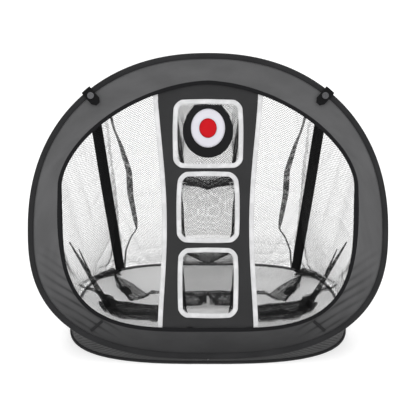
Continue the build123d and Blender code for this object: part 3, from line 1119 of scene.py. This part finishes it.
def make_pocket_folds(ahead):
    """The gathered bottoms of the upper bags, seen through the window below."""
    for name, folds in POCKET_FOLDS:
        for number, (line, ends, middle, layers, dense) in enumerate(folds):
            line = np.array(line)
            width = np.interp(np.linspace(-1, 1, len(line)), (-1, 0, 1), (ends, middle, ends))
            behind = np.full(len(line), -FOLD_DEPTH)
            edges = [
                on_front(np.stack([line[:, 0], line[:, 1] + half * width, behind], -1))
                for half in (0.5, -0.5)
            ]
            fold = gather(f"pocket_fold_{name}_{number}", edges, ahead * 0.0010, layers, dense, 2.0)
            fold_flat(fold)


def along_line(points, count):
    """Evenly spaced points along a line."""
    reach = lengths(points)
    even = np.linspace(0, reach[-1], count)
    return np.stack([np.interp(even, reach, points[:, i]) for i in range(3)], -1)


# Guessed: netting this tight or tighter was wider, in proportion, before it was gathered
GATHERED = 0.55


def gather(name, edges, lift, layers=2, dense=0.5, pleats=3.0, puff=1.0):
    """Slack netting folded over itself between two edge lines, in layers that stand a little apart."""
    first, second = (np.asarray(edge, float) for edge in edges)
    long = max(lengths(first)[-1], lengths(second)[-1])
    columns = max(8, int(long / 0.003))
    first, second = along_line(first, columns), along_line(second, columns)
    wide = float(np.linalg.norm(first - second, axis=1).mean())
    steps = max(3, int(wide / 0.003))
    share = np.concatenate([np.linspace(k % 2, 1 - k % 2, steps + 1)[(k > 0):] for k in range(layers)])
    depth = np.linspace(0, layers, len(share))
    points = first[None] * (1 - share[:, None, None]) + second[None] * share[:, None, None]
    wander = ripple(points, 0.028, 5.0 + layers)
    waves = np.abs(np.sin((share[:, None] * pleats + 0.9 * wander) * math.pi)) + 0.5 * wander
    points = points + (depth[:, None] + 1.6 * puff * waves)[..., None] * np.asarray(lift, float)
    piece = cloth_grid(name, points, uv=flat_map(points))
    area = surface_area(piece)
    flat = extent(piece)
    knit(piece, dense, 0.75)
    declare(piece, "netting")
    slack = max(1.0, GATHERED / dense)
    flat[0] * slack
    area * slack
    return piece


def make_target():
    """Cloth bullseye in the top pocket's mouth."""
    top, width, height = 0.4935, 0.098, 0.103
    middle = top - height / 2 + 0.006
    angle = np.linspace(0, 2 * math.pi, 96, endpoint=False)
    outline = np.stack([width / 2 * np.cos(angle), top - height / 2 + height / 2 * np.sin(angle)], -1)
    shoulder = (outline[:, 1] > top - 0.024) & (np.abs(outline[:, 0]) > 0.004)
    reach = np.clip((top - outline[:, 1]) / 0.024, 0, 1)
    straight = 0.026 + (0.044 - 0.026) * reach
    squared = np.sign(outline[:, 0]) * np.maximum(np.abs(outline[:, 0]), straight)
    outline[:, 0] = np.where(shoulder, squared, outline[:, 0])

    def inside(flat):
        return inside_polygon(outline, flat)

    disc = flat_sheet("target_disc_cloth", outline, [], 0.004, inside)
    points = coordinates(disc)
    points[:, 2] = PANEL_OUT + 0.0005 * ripple(points, 0.03, 2.0)
    place(disc, points)
    area = surface_area(disc)
    thicken(to_front(disc), 0.0010)
    dress(disc, "target_cloth")
    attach(declare(disc, "black_cloth", "target_disc"), "target")
    rim = []
    for name, slot, finish, node, size, hole in (
        ("target_ring_print", "white_tape", "ring_print", "target_ring", (0.066, 0.075), (0.0342, 0.0382)),
        ("target_bullseye_print", "red_print", "red_print", "target_bullseye", (0.0338, 0.0378), None),
    ):
        edge = np.stack([size[0] / 2 * np.cos(angle), middle + size[1] / 2 * np.sin(angle)], -1)
        holes = []
        if hole:
            holes = [np.stack([hole[0] / 2 * np.cos(angle), middle + hole[1] / 2 * np.sin(angle)], -1)]

        def within(flat, edge=edge, holes=holes):
            keep = inside_polygon(edge, flat)
            for gap in holes:
                keep &= ~inside_polygon(gap, flat)
            return keep

        print_piece = flat_sheet(name, edge, holes, 0.004, within)
        points = coordinates(print_piece)
        level = np.append(points[:, :2], 0 * points[:, :1], 1)
        points[:, 2] = PANEL_OUT + 0.0005 * ripple(level, 0.03, 2.0) + 0.0008
        place(print_piece, points)
        area = surface_area(print_piece)
        thicken(to_front(print_piece), 0.0004)
        dress(print_piece, finish)
        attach(declare(print_piece, slot, node), "target")
        inner_edge = (edge - (0, middle)) * 0.965 + (0, middle)
        rim.append(on_front(np.append(inner_edge, np.full((96, 1), -0.0015), 1)))
    hem = (outline - (0, top - height / 2)) * 0.955 + (0, top - height / 2)
    rim.append(on_front(np.append(hem, np.full((96, 1), -0.0020), 1)))
    sewing = stitches("target_stitches", rim, "dark_thread", closed=True, pitch=0.8, heavy=0.8)
    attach(declare(sewing, "black_cloth"), "target")
    make_target_hanger(top)


def make_target_hanger(top):
    """The short tape, sewn behind the panel, that the target hangs from."""
    across = np.linspace(-0.0275, 0.0275, 40)
    sag = 0.0004 * np.sin(across * 160)
    line = on_front(np.stack([across, top + 0.0031 + sag, np.full(40, -0.0051)], -1))
    base = on_front([[0, 0, 0]])[0]
    up = np.repeat(on_front([[0, 1, 0]]) - base, 40, 0)
    out = np.repeat(on_front([[0, 0, 1]]) - base, 40, 0)
    hanger = sweep("target_hanger_tape", line, up, out, tape(0.0050, 0.0008, 5, 0.3))
    dress(hanger, "binding_tape")
    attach(declare(hanger, "black_cloth", "target_hanger"), "front_frame")


# Straps, tabs and anchors


def radial_frame(degrees, inset, out):
    """A place on the front oval's edge with its inward, sideways and forward directions, in the room."""
    flat = oval_point(FRONT, inset, np.array([degrees]))[0]
    inward = np.radians(degrees + 180)
    origin = on_front([[flat[0], flat[1], out]])[0]
    base = on_front([[0, 0, 0]])[0]
    into = on_front([[math.cos(inward), math.sin(inward), 0]])[0] - base
    ahead = on_front([[0, 0, 1]])[0] - base
    return origin, into, np.cross(into, ahead), ahead


def make_straps():
    """Webbing straps, tabs that wrap the sleeve, press studs and the gathered ends at the floor."""
    for name, side in SIDES:
        make_strap(name, side, sizes().strap_width)
        make_tab(name, side, sizes().webbing_width)
        make_anchor(name, side)
    keep_shape("stud_posts", "stud_metal")


def make_strap(name, side, width):
    """A long strap from the front hoop to the floor hoop."""
    half = 1.72
    ends = []
    for delta in (-half, half):
        degrees = np.array([side_angle(STRAP_ANGLE + delta, side)])
        foot = np.array([side_angle(STRAP_FOOT_ANGLE + delta, side)])
        ends.append((hoop_arc(0.012, -0.0080, degrees)[0], floor_arc(0.016, 0.0120, foot)[0]))
    share = np.linspace(0, 1, 60)[:, None]
    edges = [a * (1 - share) + b * share for a, b in ends]
    line = (edges[0] + edges[1]) / 2
    across = unit(edges[1] - edges[0])
    down = unit(np.gradient(line, axis=0))
    lift = unit(np.cross(down, across)) * side
    bow = 0.0006 * np.sin(share * math.pi * 3)
    strap = sweep(f"strap_webbing_{name}", line + bow * lift, across, lift, tape(width, 0.0014, 7))
    dress(strap, "webbing")
    fan(declare(strap, "webbing", f"strap_{name}"))


def make_tab(name, side, width):
    """A tab that wraps the sleeve: its root, its flap and the flap's stitches and stud."""
    degrees = side_angle(STRAP_ANGLE, side)
    origin, into, beside, ahead = radial_frame(degrees, 0, 0)
    turn = np.linspace(0, 1, 9)
    back = [(0.028 - 0.0292 * t, -0.0046) for t in np.linspace(0, 1, 12)]
    wrap = [(-0.0012 - 0.0014 * math.sin(t * math.pi / 2), -0.0046 + 0.0110 * t) for t in turn[1:]]
    route = np.array(back + wrap)
    line = origin + route[:, :1] * into + route[:, 1:] * ahead
    sides = np.repeat(beside[None], len(line), 0)
    lift = unit(np.cross(sides, unit(np.gradient(line, axis=0))))
    root = sweep(f"tab_root_webbing_{name}", line, sides, lift, tape(width, 0.0013, 7))
    dress(root, "webbing")
    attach(declare(root, "webbing", f"tab_root_{name}"), "front_frame")

    along = np.concatenate([np.linspace(-0.0025, 0.026, 16), np.linspace(0.0275, 0.034, 6)])
    taper = np.where(along > 0.026, 1 - 0.55 * (along - 0.026) / 0.008, 1.0)
    line = origin + along[:, None] * into + 0.0067 * ahead
    lift = np.repeat(ahead[None], len(line), 0)
    flap = sweep(
        f"tab_flap_webbing_{name}", line, np.repeat(beside[None], len(line), 0) * taper[:, None], lift,
        tape(width, 0.0015, 7),
    )
    dress(flap, "webbing")
    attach(declare(flap, "webbing", f"strap_tab_{name}"), f"tab_{name}")
    keep_shape(f"stud_cap_{name}", "stud_metal")
    rows = []
    for across in (-0.42, 0.42):
        start = origin + across * width * beside + 0.00745 * ahead
        rows.append([start + reach * into for reach in (0.001, 0.026)])
    sewing = stitches(f"tab_stitches_{name}", rows, heavy=0.9)
    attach(declare(sewing, "webbing"), f"tab_{name}")


def make_anchor(name, side):
    """A strap's end, folded over itself and sewn down."""
    degrees = np.array([side_angle(STRAP_FOOT_ANGLE + 1.5, side)])
    centre = floor_arc(0.016, 0.0, degrees)[0]
    beyond = floor_arc(0.016, 0.0, degrees + 1)[0]
    along = unit(beyond - centre)
    across = np.array([-along[1], along[0], 0])
    up = np.array([0, 0, 1.0])
    share = np.linspace(0, 1, 50)
    reach = 0.011 * np.cos(share * math.pi * 3) * (1 - 0.15 * share)
    height = 0.0074 + 0.0030 * share + 0.0004 * np.sin(share * 21)
    line = centre + reach[:, None] * along + height[:, None] * up
    sides = unit(across[None] + 0.3 * np.sin(share * 9)[:, None] * up)
    lift = unit(np.cross(unit(np.gradient(line, axis=0)), sides))
    knot = sweep(f"strap_anchor_fold_{name}", line, sides, lift, tape(0.011, 0.0010, 5))
    dress(knot, "webbing")
    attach(declare(knot, "webbing", f"strap_anchor_{name}"), "base")


# Netting


def span(side, hoop, foot, rows, columns):
    """Points from a stretch of the front hoop down to a stretch of the floor hoop."""
    (hoop_inset, out, hoop_start, hoop_end), (foot_inset, height, foot_start, foot_end) = hoop, foot
    upper = np.linspace(side_angle(hoop_start, side), side_angle(hoop_end, side), columns)
    lower = np.linspace(side_angle(foot_start, side), side_angle(foot_end, side), columns)
    top, bottom = hoop_arc(hoop_inset, out, upper), floor_arc(foot_inset, height, lower)
    share = np.linspace(0, 1, rows)[:, None, None]
    return top[None] * (1 - share) + bottom[None] * share


def flat_map(points):
    """A UV map in metres that follows a spanned sheet: distance along its rows and down its columns."""
    columns = points.shape[1]
    across = np.array([lengths(row) for row in points])
    down = np.array([lengths(points[:, j]) for j in range(columns)]).T
    across -= across[:, columns // 2][:, None]
    return np.stack([across, down], -1)


def border(rows, columns):
    numbers = np.arange(rows * columns).reshape(rows, columns)
    return np.unique(np.concatenate([numbers[0], numbers[-1], numbers[:, 0], numbers[:, -1]]))


def wrinkle(net, seed, tall=0.0036):
    """Fine ridges in a net, mostly level, as in cloth that has been packed small."""
    finer = net.modifiers.new("Finer", "SUBSURF")
    finer.levels = 1
    finer.subdivision_type = "SIMPLE"
    settle(net)
    points = coordinates(net)
    normals = np.zeros(len(points) * 3, np.float32)
    net.data.vertices.foreach_get("normal", normals)
    stretched = points * (0.55, 0.8, 1.25)
    turns = ripple(stretched, 0.085, seed)
    ridge = (1 - np.abs(turns)) ** 9 - 0.35
    patches = 0.5 + 0.5 * ripple(points, 0.13, seed + 4)
    push = tall * ridge * patches + 0.003 * ripple(points, 0.10, seed + 9)
    low, high = points[:, 2].min(), points[:, 2].max()
    push *= np.clip((points[:, 2] - low) / 0.03, 0, 1) * np.clip((high - points[:, 2]) / 0.03, 0, 1)
    place(net, points + push[:, None] * normals.reshape(-1, 3))


def net_between(name, node, side, hoop, foot, rows, columns, slack):
    """A slack net from the front hoop to the floor hoop, sewn all round its edge."""
    points = span(side, hoop, foot, rows, columns)
    net = cloth_grid(name, points, uv=flat_map(points))
    area = surface_area(net)
    drape(net, border(rows, columns), 20, slack)
    flat = extent(net)
    wrinkle(net, 3.0 + side)
    knit(net)
    declare(net, "netting", node)
    fan(net)


def make_nets():
    """Side nets, back net, floor net, and the slack mesh gathered at the corners."""
    for name, side in SIDES:
        net_between(
            f"side_net_{name}", f"net_{name}", side,
            (*HOOP_SEAM, CORNER_ANGLE - CORNER_SEAM, HINGE_ANGLE + 1.5),
            (*FLOOR_SEAM, CORNER_ANGLE - CORNER_SEAM, HINGE_FOOT_ANGLE + 1.5),
            44, 48, 0.006,
        )
    net_between(
        "back_net", "net_back", 0,
        (*HOOP_SEAM, CORNER_ANGLE + CORNER_SEAM, 180 - CORNER_ANGLE - CORNER_SEAM),
        (*FLOOR_SEAM, CORNER_ANGLE + CORNER_SEAM, 180 - CORNER_ANGLE - CORNER_SEAM),
        52, 56, 0.006,
    )
    make_floor_net()
    for name, side in SIDES:
        make_seam(name, side)
    make_gathers()


def make_floor_net():
    """The net that lies on the floor inside the floor hoop."""
    outline = oval_point(BASE, FLOOR_EDGE, np.linspace(0, 360, 120, endpoint=False))

    def inside(flat):
        return inside_oval(BASE, FLOOR_EDGE, flat)

    net = flat_sheet("floor_net", outline, [], 0.010, inside)
    points = coordinates(net)
    edge = np.minimum(1, 14 * (1 - (np.abs(points[:, 0] / 0.2765) ** 3 + np.abs(points[:, 1] / 0.24) ** 3)))
    lift = 0.5 + 0.5 * ripple(points, 0.07, 3.0)
    points[:, 2] = 0.0036 + 0.006 * np.clip(edge, 0, 1) * lift
    place(net, points)
    area = surface_area(net)
    knit(net)
    declare(net, "netting", "net_floor")
    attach(net, "base")


# Share of the way down, and how far the corner seam has slipped towards the middle of the back net
SEAM_SLIP = (
    (0.0, 0.004), (0.10, 0.006), (0.20, 0.012), (0.28, 0.022), (0.42, 0.034), (0.55, 0.032), (0.68, 0.037),
    (0.75, 0.039), (0.80, 0.024), (0.88, 0.010), (1.0, 0.002),
)
SEAM_WIDTH = (
    (0.0, 0.007), (0.15, 0.006), (0.22, 0.005), (0.33, 0.011), (0.5, 0.014), (0.7, 0.010), (0.75, 0.004),
    (1.0, 0.005),
)


def make_seam(name, side):
    """The corner seam: a doubled strip of slack mesh that has slipped onto the back net."""
    share = np.linspace(0, 1, 60)
    slip = np.interp(share, *np.array(SEAM_SLIP).T)
    width = np.interp(share, *np.array(SEAM_WIDTH).T)
    top = hoop_arc(0.012, -0.0085, np.array([side_angle(CORNER_ANGLE, side)]))[0]
    foot = floor_arc(0.008, 0.0085, np.array([side_angle(CORNER_ANGLE, side)]))[0]
    line = top * (1 - share[:, None]) + foot * share[:, None]
    line[:, 0] -= side * slip
    line[:, 1] -= 0.0035
    edges = []
    for shift in (-0.5, 0.5):
        edge = line.copy()
        edge[:, 0] += shift * width
        edges.append(edge)
    strip = gather(f"corner_seam_{name}", edges, (0, -0.0012, 0), 3, 0.45, 1.0, 0.4)
    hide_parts(f"net_seam_{name}")
    fan(strip)


# Slack netting on the floor net, drawn on the left half in millimetres: name, then the fold's middle
# line as (across, back, width) with its widest places, then layers, tightness, pleats and height in metres
FLOOR_GATHERS = (
    ("rear", ((-255, 140, 10), (-230, 160, 30), (-205, 175, 45)), 3, 0.40, 4.0, 0.0020),
    ("corner", ((-210, 155, 4), (-185, 105, 40), (-145, 35, 45)), 2, 0.62, 3.0, 0.0014),
    ("corner_edge", ((-210, 155, 6), (-190, 85, 6), (-165, 20, 6), (-140, 35, 6), (-125, 60, 6)),
     3, 0.36, 1.0, 0.0016),
    ("corner_knot", ((-190, 90, 15), (-180, 70, 22), (-170, 50, 15)), 3, 0.36, 1.5, 0.0016),
    ("front_band", ((-220, 15, 35), (-200, -15, 55), (-170, -35, 75), (-105, -50, 70), (-70, -45, 5)),
     3, 0.43, 5.0, 0.0018),
    ("front_band_edge", ((-220, 30, 5), (-200, 10, 8), (-170, 0, 8), (-105, -15, 8), (-75, -35, 5)),
     3, 0.36, 1.0, 0.0018),
    ("front_band_fold", ((-215, -5, 5), (-180, -45, 8), (-145, -50, 9),
      (-80, -55, 4)), 3, 0.40, 1.0, 0.0018),
    ("bunch", ((-230, 40, 10), (-215, 25, 25), (-205, -5, 20), (-195, -40, 15)), 3, 0.42, 2.0, 0.0022),
    ("side_knot", ((-270, 80, 15), (-245, 65, 10), (-220, 30, 10)), 3, 0.40, 1.5, 0.0018),
    ("side_wisp", ((-285, 100, 5), (-270, 80, 8)), 2, 0.42, 1.0, 0.0014),
    ("hem", ((-210, -15, 8), (-200, -50, 8)), 3, 0.42, 1.0, 0.0014),
    ("lobe", ((-95, 50, 5), (-70, 35, 40), (-45, 20, 70), (-25, 25, 75),
      (-5, 50, 5)), 3, 0.75, 3.0, 0.0010),
    ("lobe_hem", ((-75, 10, 8), (-50, -10, 8), (-20, -10, 8), (0, 50, 6)), 3, 0.36, 1.0, 0.0016),
)
# the roll of slack across the middle, from the left end to the centre line
MIDDLE_ROLL = ((-125, 60, 11), (-100, 55, 11), (-55, 55, 11), (-25, 60, 11), (0, 55, 11))
# Slack of the side net hanging straight from the mouth's edge towards the floor, in millimetres:
# name, its two ends, and its width at each end
SIDE_FOLDS = (
    ("long", (-270, -155, 220), (-210, -15, 15), (3, 15)),
    ("short", (-255, -130, 195), (-240, -80, 120), (2, 6)),
)


def ribbon(fold, height, side=-1):
    """The two edges of a fold lying on the floor, from its middle line and widths."""
    across, back, width = MM * np.array(fold, float).T
    middle = np.stack([-side * across, back, np.full(len(fold), height)], -1)
    along = unit(np.gradient(middle, axis=0))
    beside = np.stack([-along[:, 1], along[:, 0], 0 * across], -1)
    return [middle + half * width[:, None] * beside for half in (0.5, -0.5)]


def make_gathers():
    """Slack netting folded over itself on the floor and down the sides."""
    for number, (name, fold, layers, dense, pleats, tall) in enumerate(FLOOR_GATHERS):
        for side_name, side in SIDES:
            edges = ribbon(fold, 0.0088 + 0.0004 * number, side)
            piece = gather(f"gather_{name}_{side_name}", edges, (0, 0, tall), layers, dense, pleats)
            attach(piece, "base")
    roll = MIDDLE_ROLL + tuple((-across, back, width) for across, back, width in MIDDLE_ROLL[-2::-1])
    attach(gather("gather_seam", ribbon(roll, 0.0088), (0, 0, 0.0024), 3, 0.36, 1.0), "base")
    share = np.linspace(0, 1, 12)[:, None]
    for name, top, foot, ends in SIDE_FOLDS:
        for side_name, side in SIDES:
            path = MM * (np.array(top) * (1 - share) + np.array(foot) * share) * (-side, 1, 1)
            width = MM * (ends[0] * (1 - share) + ends[1] * share)
            across = np.array([-0.75 * side, 0.25, 0.62])
            edges = [path + half * width * across for half in (-0.5, 0.5)]
            piece = gather(f"side_fold_{name}_{side_name}", edges, (0, -0.0012, 0.0004), 3, 0.38, 1.0, 0.5)
            fan(piece)


# Floor hoop and gussets


def floor_frame(inset, height, degrees):
    """A stretch round the floor hoop, with its outward direction."""
    line = floor_arc(inset, height, degrees)
    ahead = floor_arc(inset, height, degrees + 0.2) - floor_arc(inset, height, degrees - 0.2)
    tangent = unit(ahead)
    return line, np.stack([tangent[:, 1], -tangent[:, 0], 0 * tangent[:, 0]], -1)


def make_base():
    """Sleeve over the front of the floor hoop, netting sewn round its rear, and the corner gussets."""
    line, outward = floor_frame(0.0045, 0.0032, np.linspace(187, 353, 300))
    up = np.zeros_like(line)
    up[:, 2] = 1 + 0.08 * ripple(line, 0.012, 3.0)
    sleeve = sweep("base_sleeve_cloth", line, outward, up, pillow(0.0088, 0.0060))
    dress(sleeve, "sleeve_cloth")
    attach(declare(sleeve, "black_cloth", "base_sleeve"), "base")
    line, outward = floor_frame(0.0045, 0.0032, np.linspace(-8, 188, 260))
    up[:, 2] = 1
    around = pillow(0.0082, 0.0060, 12)
    rounds = np.concatenate([around, around[:1]])
    points = line[None] + rounds[:, 0][:, None, None] * outward[None] + rounds[:, 1][:, None, None] * up[0]
    wrap = cloth_grid("base_net_wrap", points, uv=flat_map(points))
    area, flat = surface_area(wrap), extent(wrap)
    knit(wrap)
    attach(declare(wrap, "netting"), "base")
    for name, side in SIDES:
        make_gusset(name, side)
        make_hinge_tape(name, side)
    for node in ("front_hoop", "base_hoop", "front_hoop_ferrule", "base_hoop_ferrule"):
        keep_shape(node, "spring_steel")


def make_gusset(name, side):
    """Cloth gathered between the band and the floor hoop at a front corner."""
    points = span(
        side, (0.006, -0.0035, HINGE_ANGLE, 270), (0.0045, 0.0050, HINGE_FOOT_ANGLE, 270), 14, 150
    )
    share = np.linspace(0, 1, 14)[:, None]
    where = np.linspace(0, 1, 150)[None, :]
    room = np.sin(share * math.pi)
    puckers = np.sin(where * 2 * math.pi * 34 + 3 * ripple(points, 0.05, 2.0))
    gathers = puckers * np.exp(-((where - 0.25) / 0.3) ** 2)
    away = unit(np.array([side * 0.75, -0.65, 0.0]))
    fullness = (room * (0.0030 + 0.0014 * gathers))[..., None]
    points = points + fullness * away * (1 - where[..., None] * 0.9)
    gusset = cloth_grid(f"corner_gusset_cloth_{name}", points, uv=flat_map(points))
    # The puckers' depth darkens the gusset's colour: painted shade in its creases.
    mark_fold_shade(gusset, np.clip(-gathers, 0, 1) * room * 0.8)
    area = surface_area(gusset)
    flat_size = extent(gusset)
    thicken(gusset, 0.0006)
    dress(gusset, "shaded_gusset_cloth")
    declare(gusset, "grey_cloth", f"corner_gusset_{name}")
    fan(gusset)


def make_hinge_tape(name, side):
    """A short tape sewn over the band where the front frame hinges on the floor hoop."""
    origin, into, beside, ahead = radial_frame(side_angle(221, side), 0.016, 0.0019)
    line = origin + np.linspace(0.001, 0.030, 14)[:, None] * into
    strip = sweep(
        f"hinge_tape_strip_{name}", line, np.repeat(beside[None], 14, 0), np.repeat(ahead[None], 14, 0),
        tape(0.0056, 0.0012, 5),
    )
    dress(strip, "sleeve_cloth")
    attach(declare(strip, "black_cloth", f"hinge_tape_{name}"), "front_frame")


# Stage


def make_stage():
    """Pale floor, soft lights and the camera."""
    scene = bpy.context.scene
    scene.view_settings.view_transform = "Standard"
    mesh = bpy.data.meshes.new("studio_floor")
    mesh.from_pydata([(-30, -30, 0), (30, -30, 0), (30, 30, 0), (-30, 30, 0)], [], [(0, 1, 2, 3)])
    floor = new_object("studio_floor", mesh)
    paint = Finish(
        "studio_paper", Base_Color=(0.52, 0.52, 0.52, 1), Roughness=0.9, Specular_IOR_Level=0.1,
        Emission_Color=(1, 1, 1, 1), Emission_Strength=0.58,
    )
    mesh.materials.append(paint.material)
    world = bpy.data.worlds.new("studio")
    scene.world = world
    world.use_nodes = True
    sky = world.node_tree.nodes["Background"]
    sky.inputs["Color"].default_value = (1, 1, 1, 1)
    sky.inputs["Strength"].default_value = 1.0
    lights = (
        ("key", (-1.2, -2.2, 2.6), 1.8, 20.0),
        ("fill", (1.8, -2.0, 1.4), 2.0, 12.0),
        ("top", (0.0, 0.3, 2.8), 2.4, 16.0),
    )
    for name, where, size, power in lights:
        lamp = bpy.data.lights.new(name, "AREA")
        lamp.size, lamp.energy = size, power
        thing = bpy.data.objects.new(name, lamp)
        scene.collection.objects.link(thing)
        thing.location = where
        thing.rotation_euler = (Vector((0, 0, 0.25)) - Vector(where)).to_track_quat("-Z", "Y").to_euler()
    camera = bpy.data.objects.new("camera", bpy.data.cameras.new("camera"))
    scene.collection.objects.link(camera)
    camera.data.lens = 102.66
    camera.data.shift_y = -0.0236
    target = Vector((0, -0.0432, 0.27))
    camera.location = target + 2.4 * Vector((0, -math.cos(LEAN), math.sin(LEAN)))
    camera.rotation_euler = (target - camera.location).to_track_quat("-Z", "Y").to_euler()
    scene.camera = camera


# Operators, panel and running


class NET_OT_stage(bpy.types.Operator):
    """Pale floor, soft lights and the camera"""

    bl_idname = "chipping_net.stage"
    bl_label = "Stage"
    bl_options = {"REGISTER", "UNDO"}

    def execute(self, context):
        make_stage()
        return {"FINISHED"}


class NET_OT_front_cloth(bpy.types.Operator):
    """Sleeve over the front hoop, the wide band and the tape round the mouth"""

    bl_idname = "chipping_net.front_cloth"
    bl_label = "Front cloth"
    bl_options = {"REGISTER", "UNDO"}

    def execute(self, context):
        make_front_cloth()
        return {"FINISHED"}


class NET_OT_centre_panel(bpy.types.Operator):
    """Dark centre panel, its white side tapes and the trims of the three pockets"""

    bl_idname = "chipping_net.centre_panel"
    bl_label = "Centre panel"
    bl_options = {"REGISTER", "UNDO"}

    def execute(self, context):
        make_centre_panel()
        return {"FINISHED"}


class NET_OT_pockets(bpy.types.Operator):
    """Mesh bags behind the three trims, and the slack folded along their bottoms"""

    bl_idname = "chipping_net.pockets"
    bl_label = "Pockets"
    bl_options = {"REGISTER", "UNDO"}

    def execute(self, context):
        make_pockets()
        return {"FINISHED"}


class NET_OT_target(bpy.types.Operator):
    """Cloth bullseye in the top pocket's mouth"""

    bl_idname = "chipping_net.target"
    bl_label = "Target"
    bl_options = {"REGISTER", "UNDO"}

    def execute(self, context):
        make_target()
        return {"FINISHED"}


class NET_OT_base(bpy.types.Operator):
    """Floor hoop's sleeve, corner gussets and hinge tapes"""

    bl_idname = "chipping_net.base"
    bl_label = "Base"
    bl_options = {"REGISTER", "UNDO"}

    def execute(self, context):
        make_base()
        return {"FINISHED"}


class NET_OT_straps(bpy.types.Operator):
    """Webbing straps, tabs, press studs and the sewn ends at the floor"""

    bl_idname = "chipping_net.straps"
    bl_label = "Straps"
    bl_options = {"REGISTER", "UNDO"}

    def execute(self, context):
        make_straps()
        return {"FINISHED"}


class NET_OT_nets(bpy.types.Operator):
    """Side nets, back net, floor net and the slack mesh gathered on them"""

    bl_idname = "chipping_net.nets"
    bl_label = "Nets"
    bl_options = {"REGISTER", "UNDO"}

    def execute(self, context):
        make_nets()
        return {"FINISHED"}


OPERATORS = (
    NET_OT_stage,
    NET_OT_front_cloth,
    NET_OT_centre_panel,
    NET_OT_pockets,
    NET_OT_target,
    NET_OT_base,
    NET_OT_straps,
    NET_OT_nets,
)


class NET_PT_panel(bpy.types.Panel):
    """Golf chipping net"""

    bl_label = "Chipping Net"
    bl_idname = "NET_PT_panel"
    bl_space_type = "VIEW_3D"
    bl_region_type = "UI"
    bl_category = "Chipping Net"

    def draw(self, context):
        for group in (context.scene.chipping_net_sizes, context.scene.chipping_net_colours):
            for name in group.bl_rna.properties.keys():
                if name not in ("name", "rna_type"):
                    self.layout.prop(group, name)
        for item in OPERATORS:
            self.layout.operator(item.bl_idname)


CLASSES = (NetSizes, NetColours, *OPERATORS, NET_PT_panel)


def register():
    for item in CLASSES:
        bpy.utils.register_class(item)
    bpy.types.Scene.chipping_net_sizes = bpy.props.PointerProperty(type=NetSizes)
    bpy.types.Scene.chipping_net_colours = bpy.props.PointerProperty(type=NetColours)


def unregister():
    del bpy.types.Scene.chipping_net_sizes
    del bpy.types.Scene.chipping_net_colours
    for item in reversed(CLASSES):
        bpy.utils.unregister_class(item)


def main():
    register()
    for item in OPERATORS:
        getattr(bpy.ops.chipping_net, item.bl_idname.split(".")[1])()


if __name__ == "__main__":
    main()
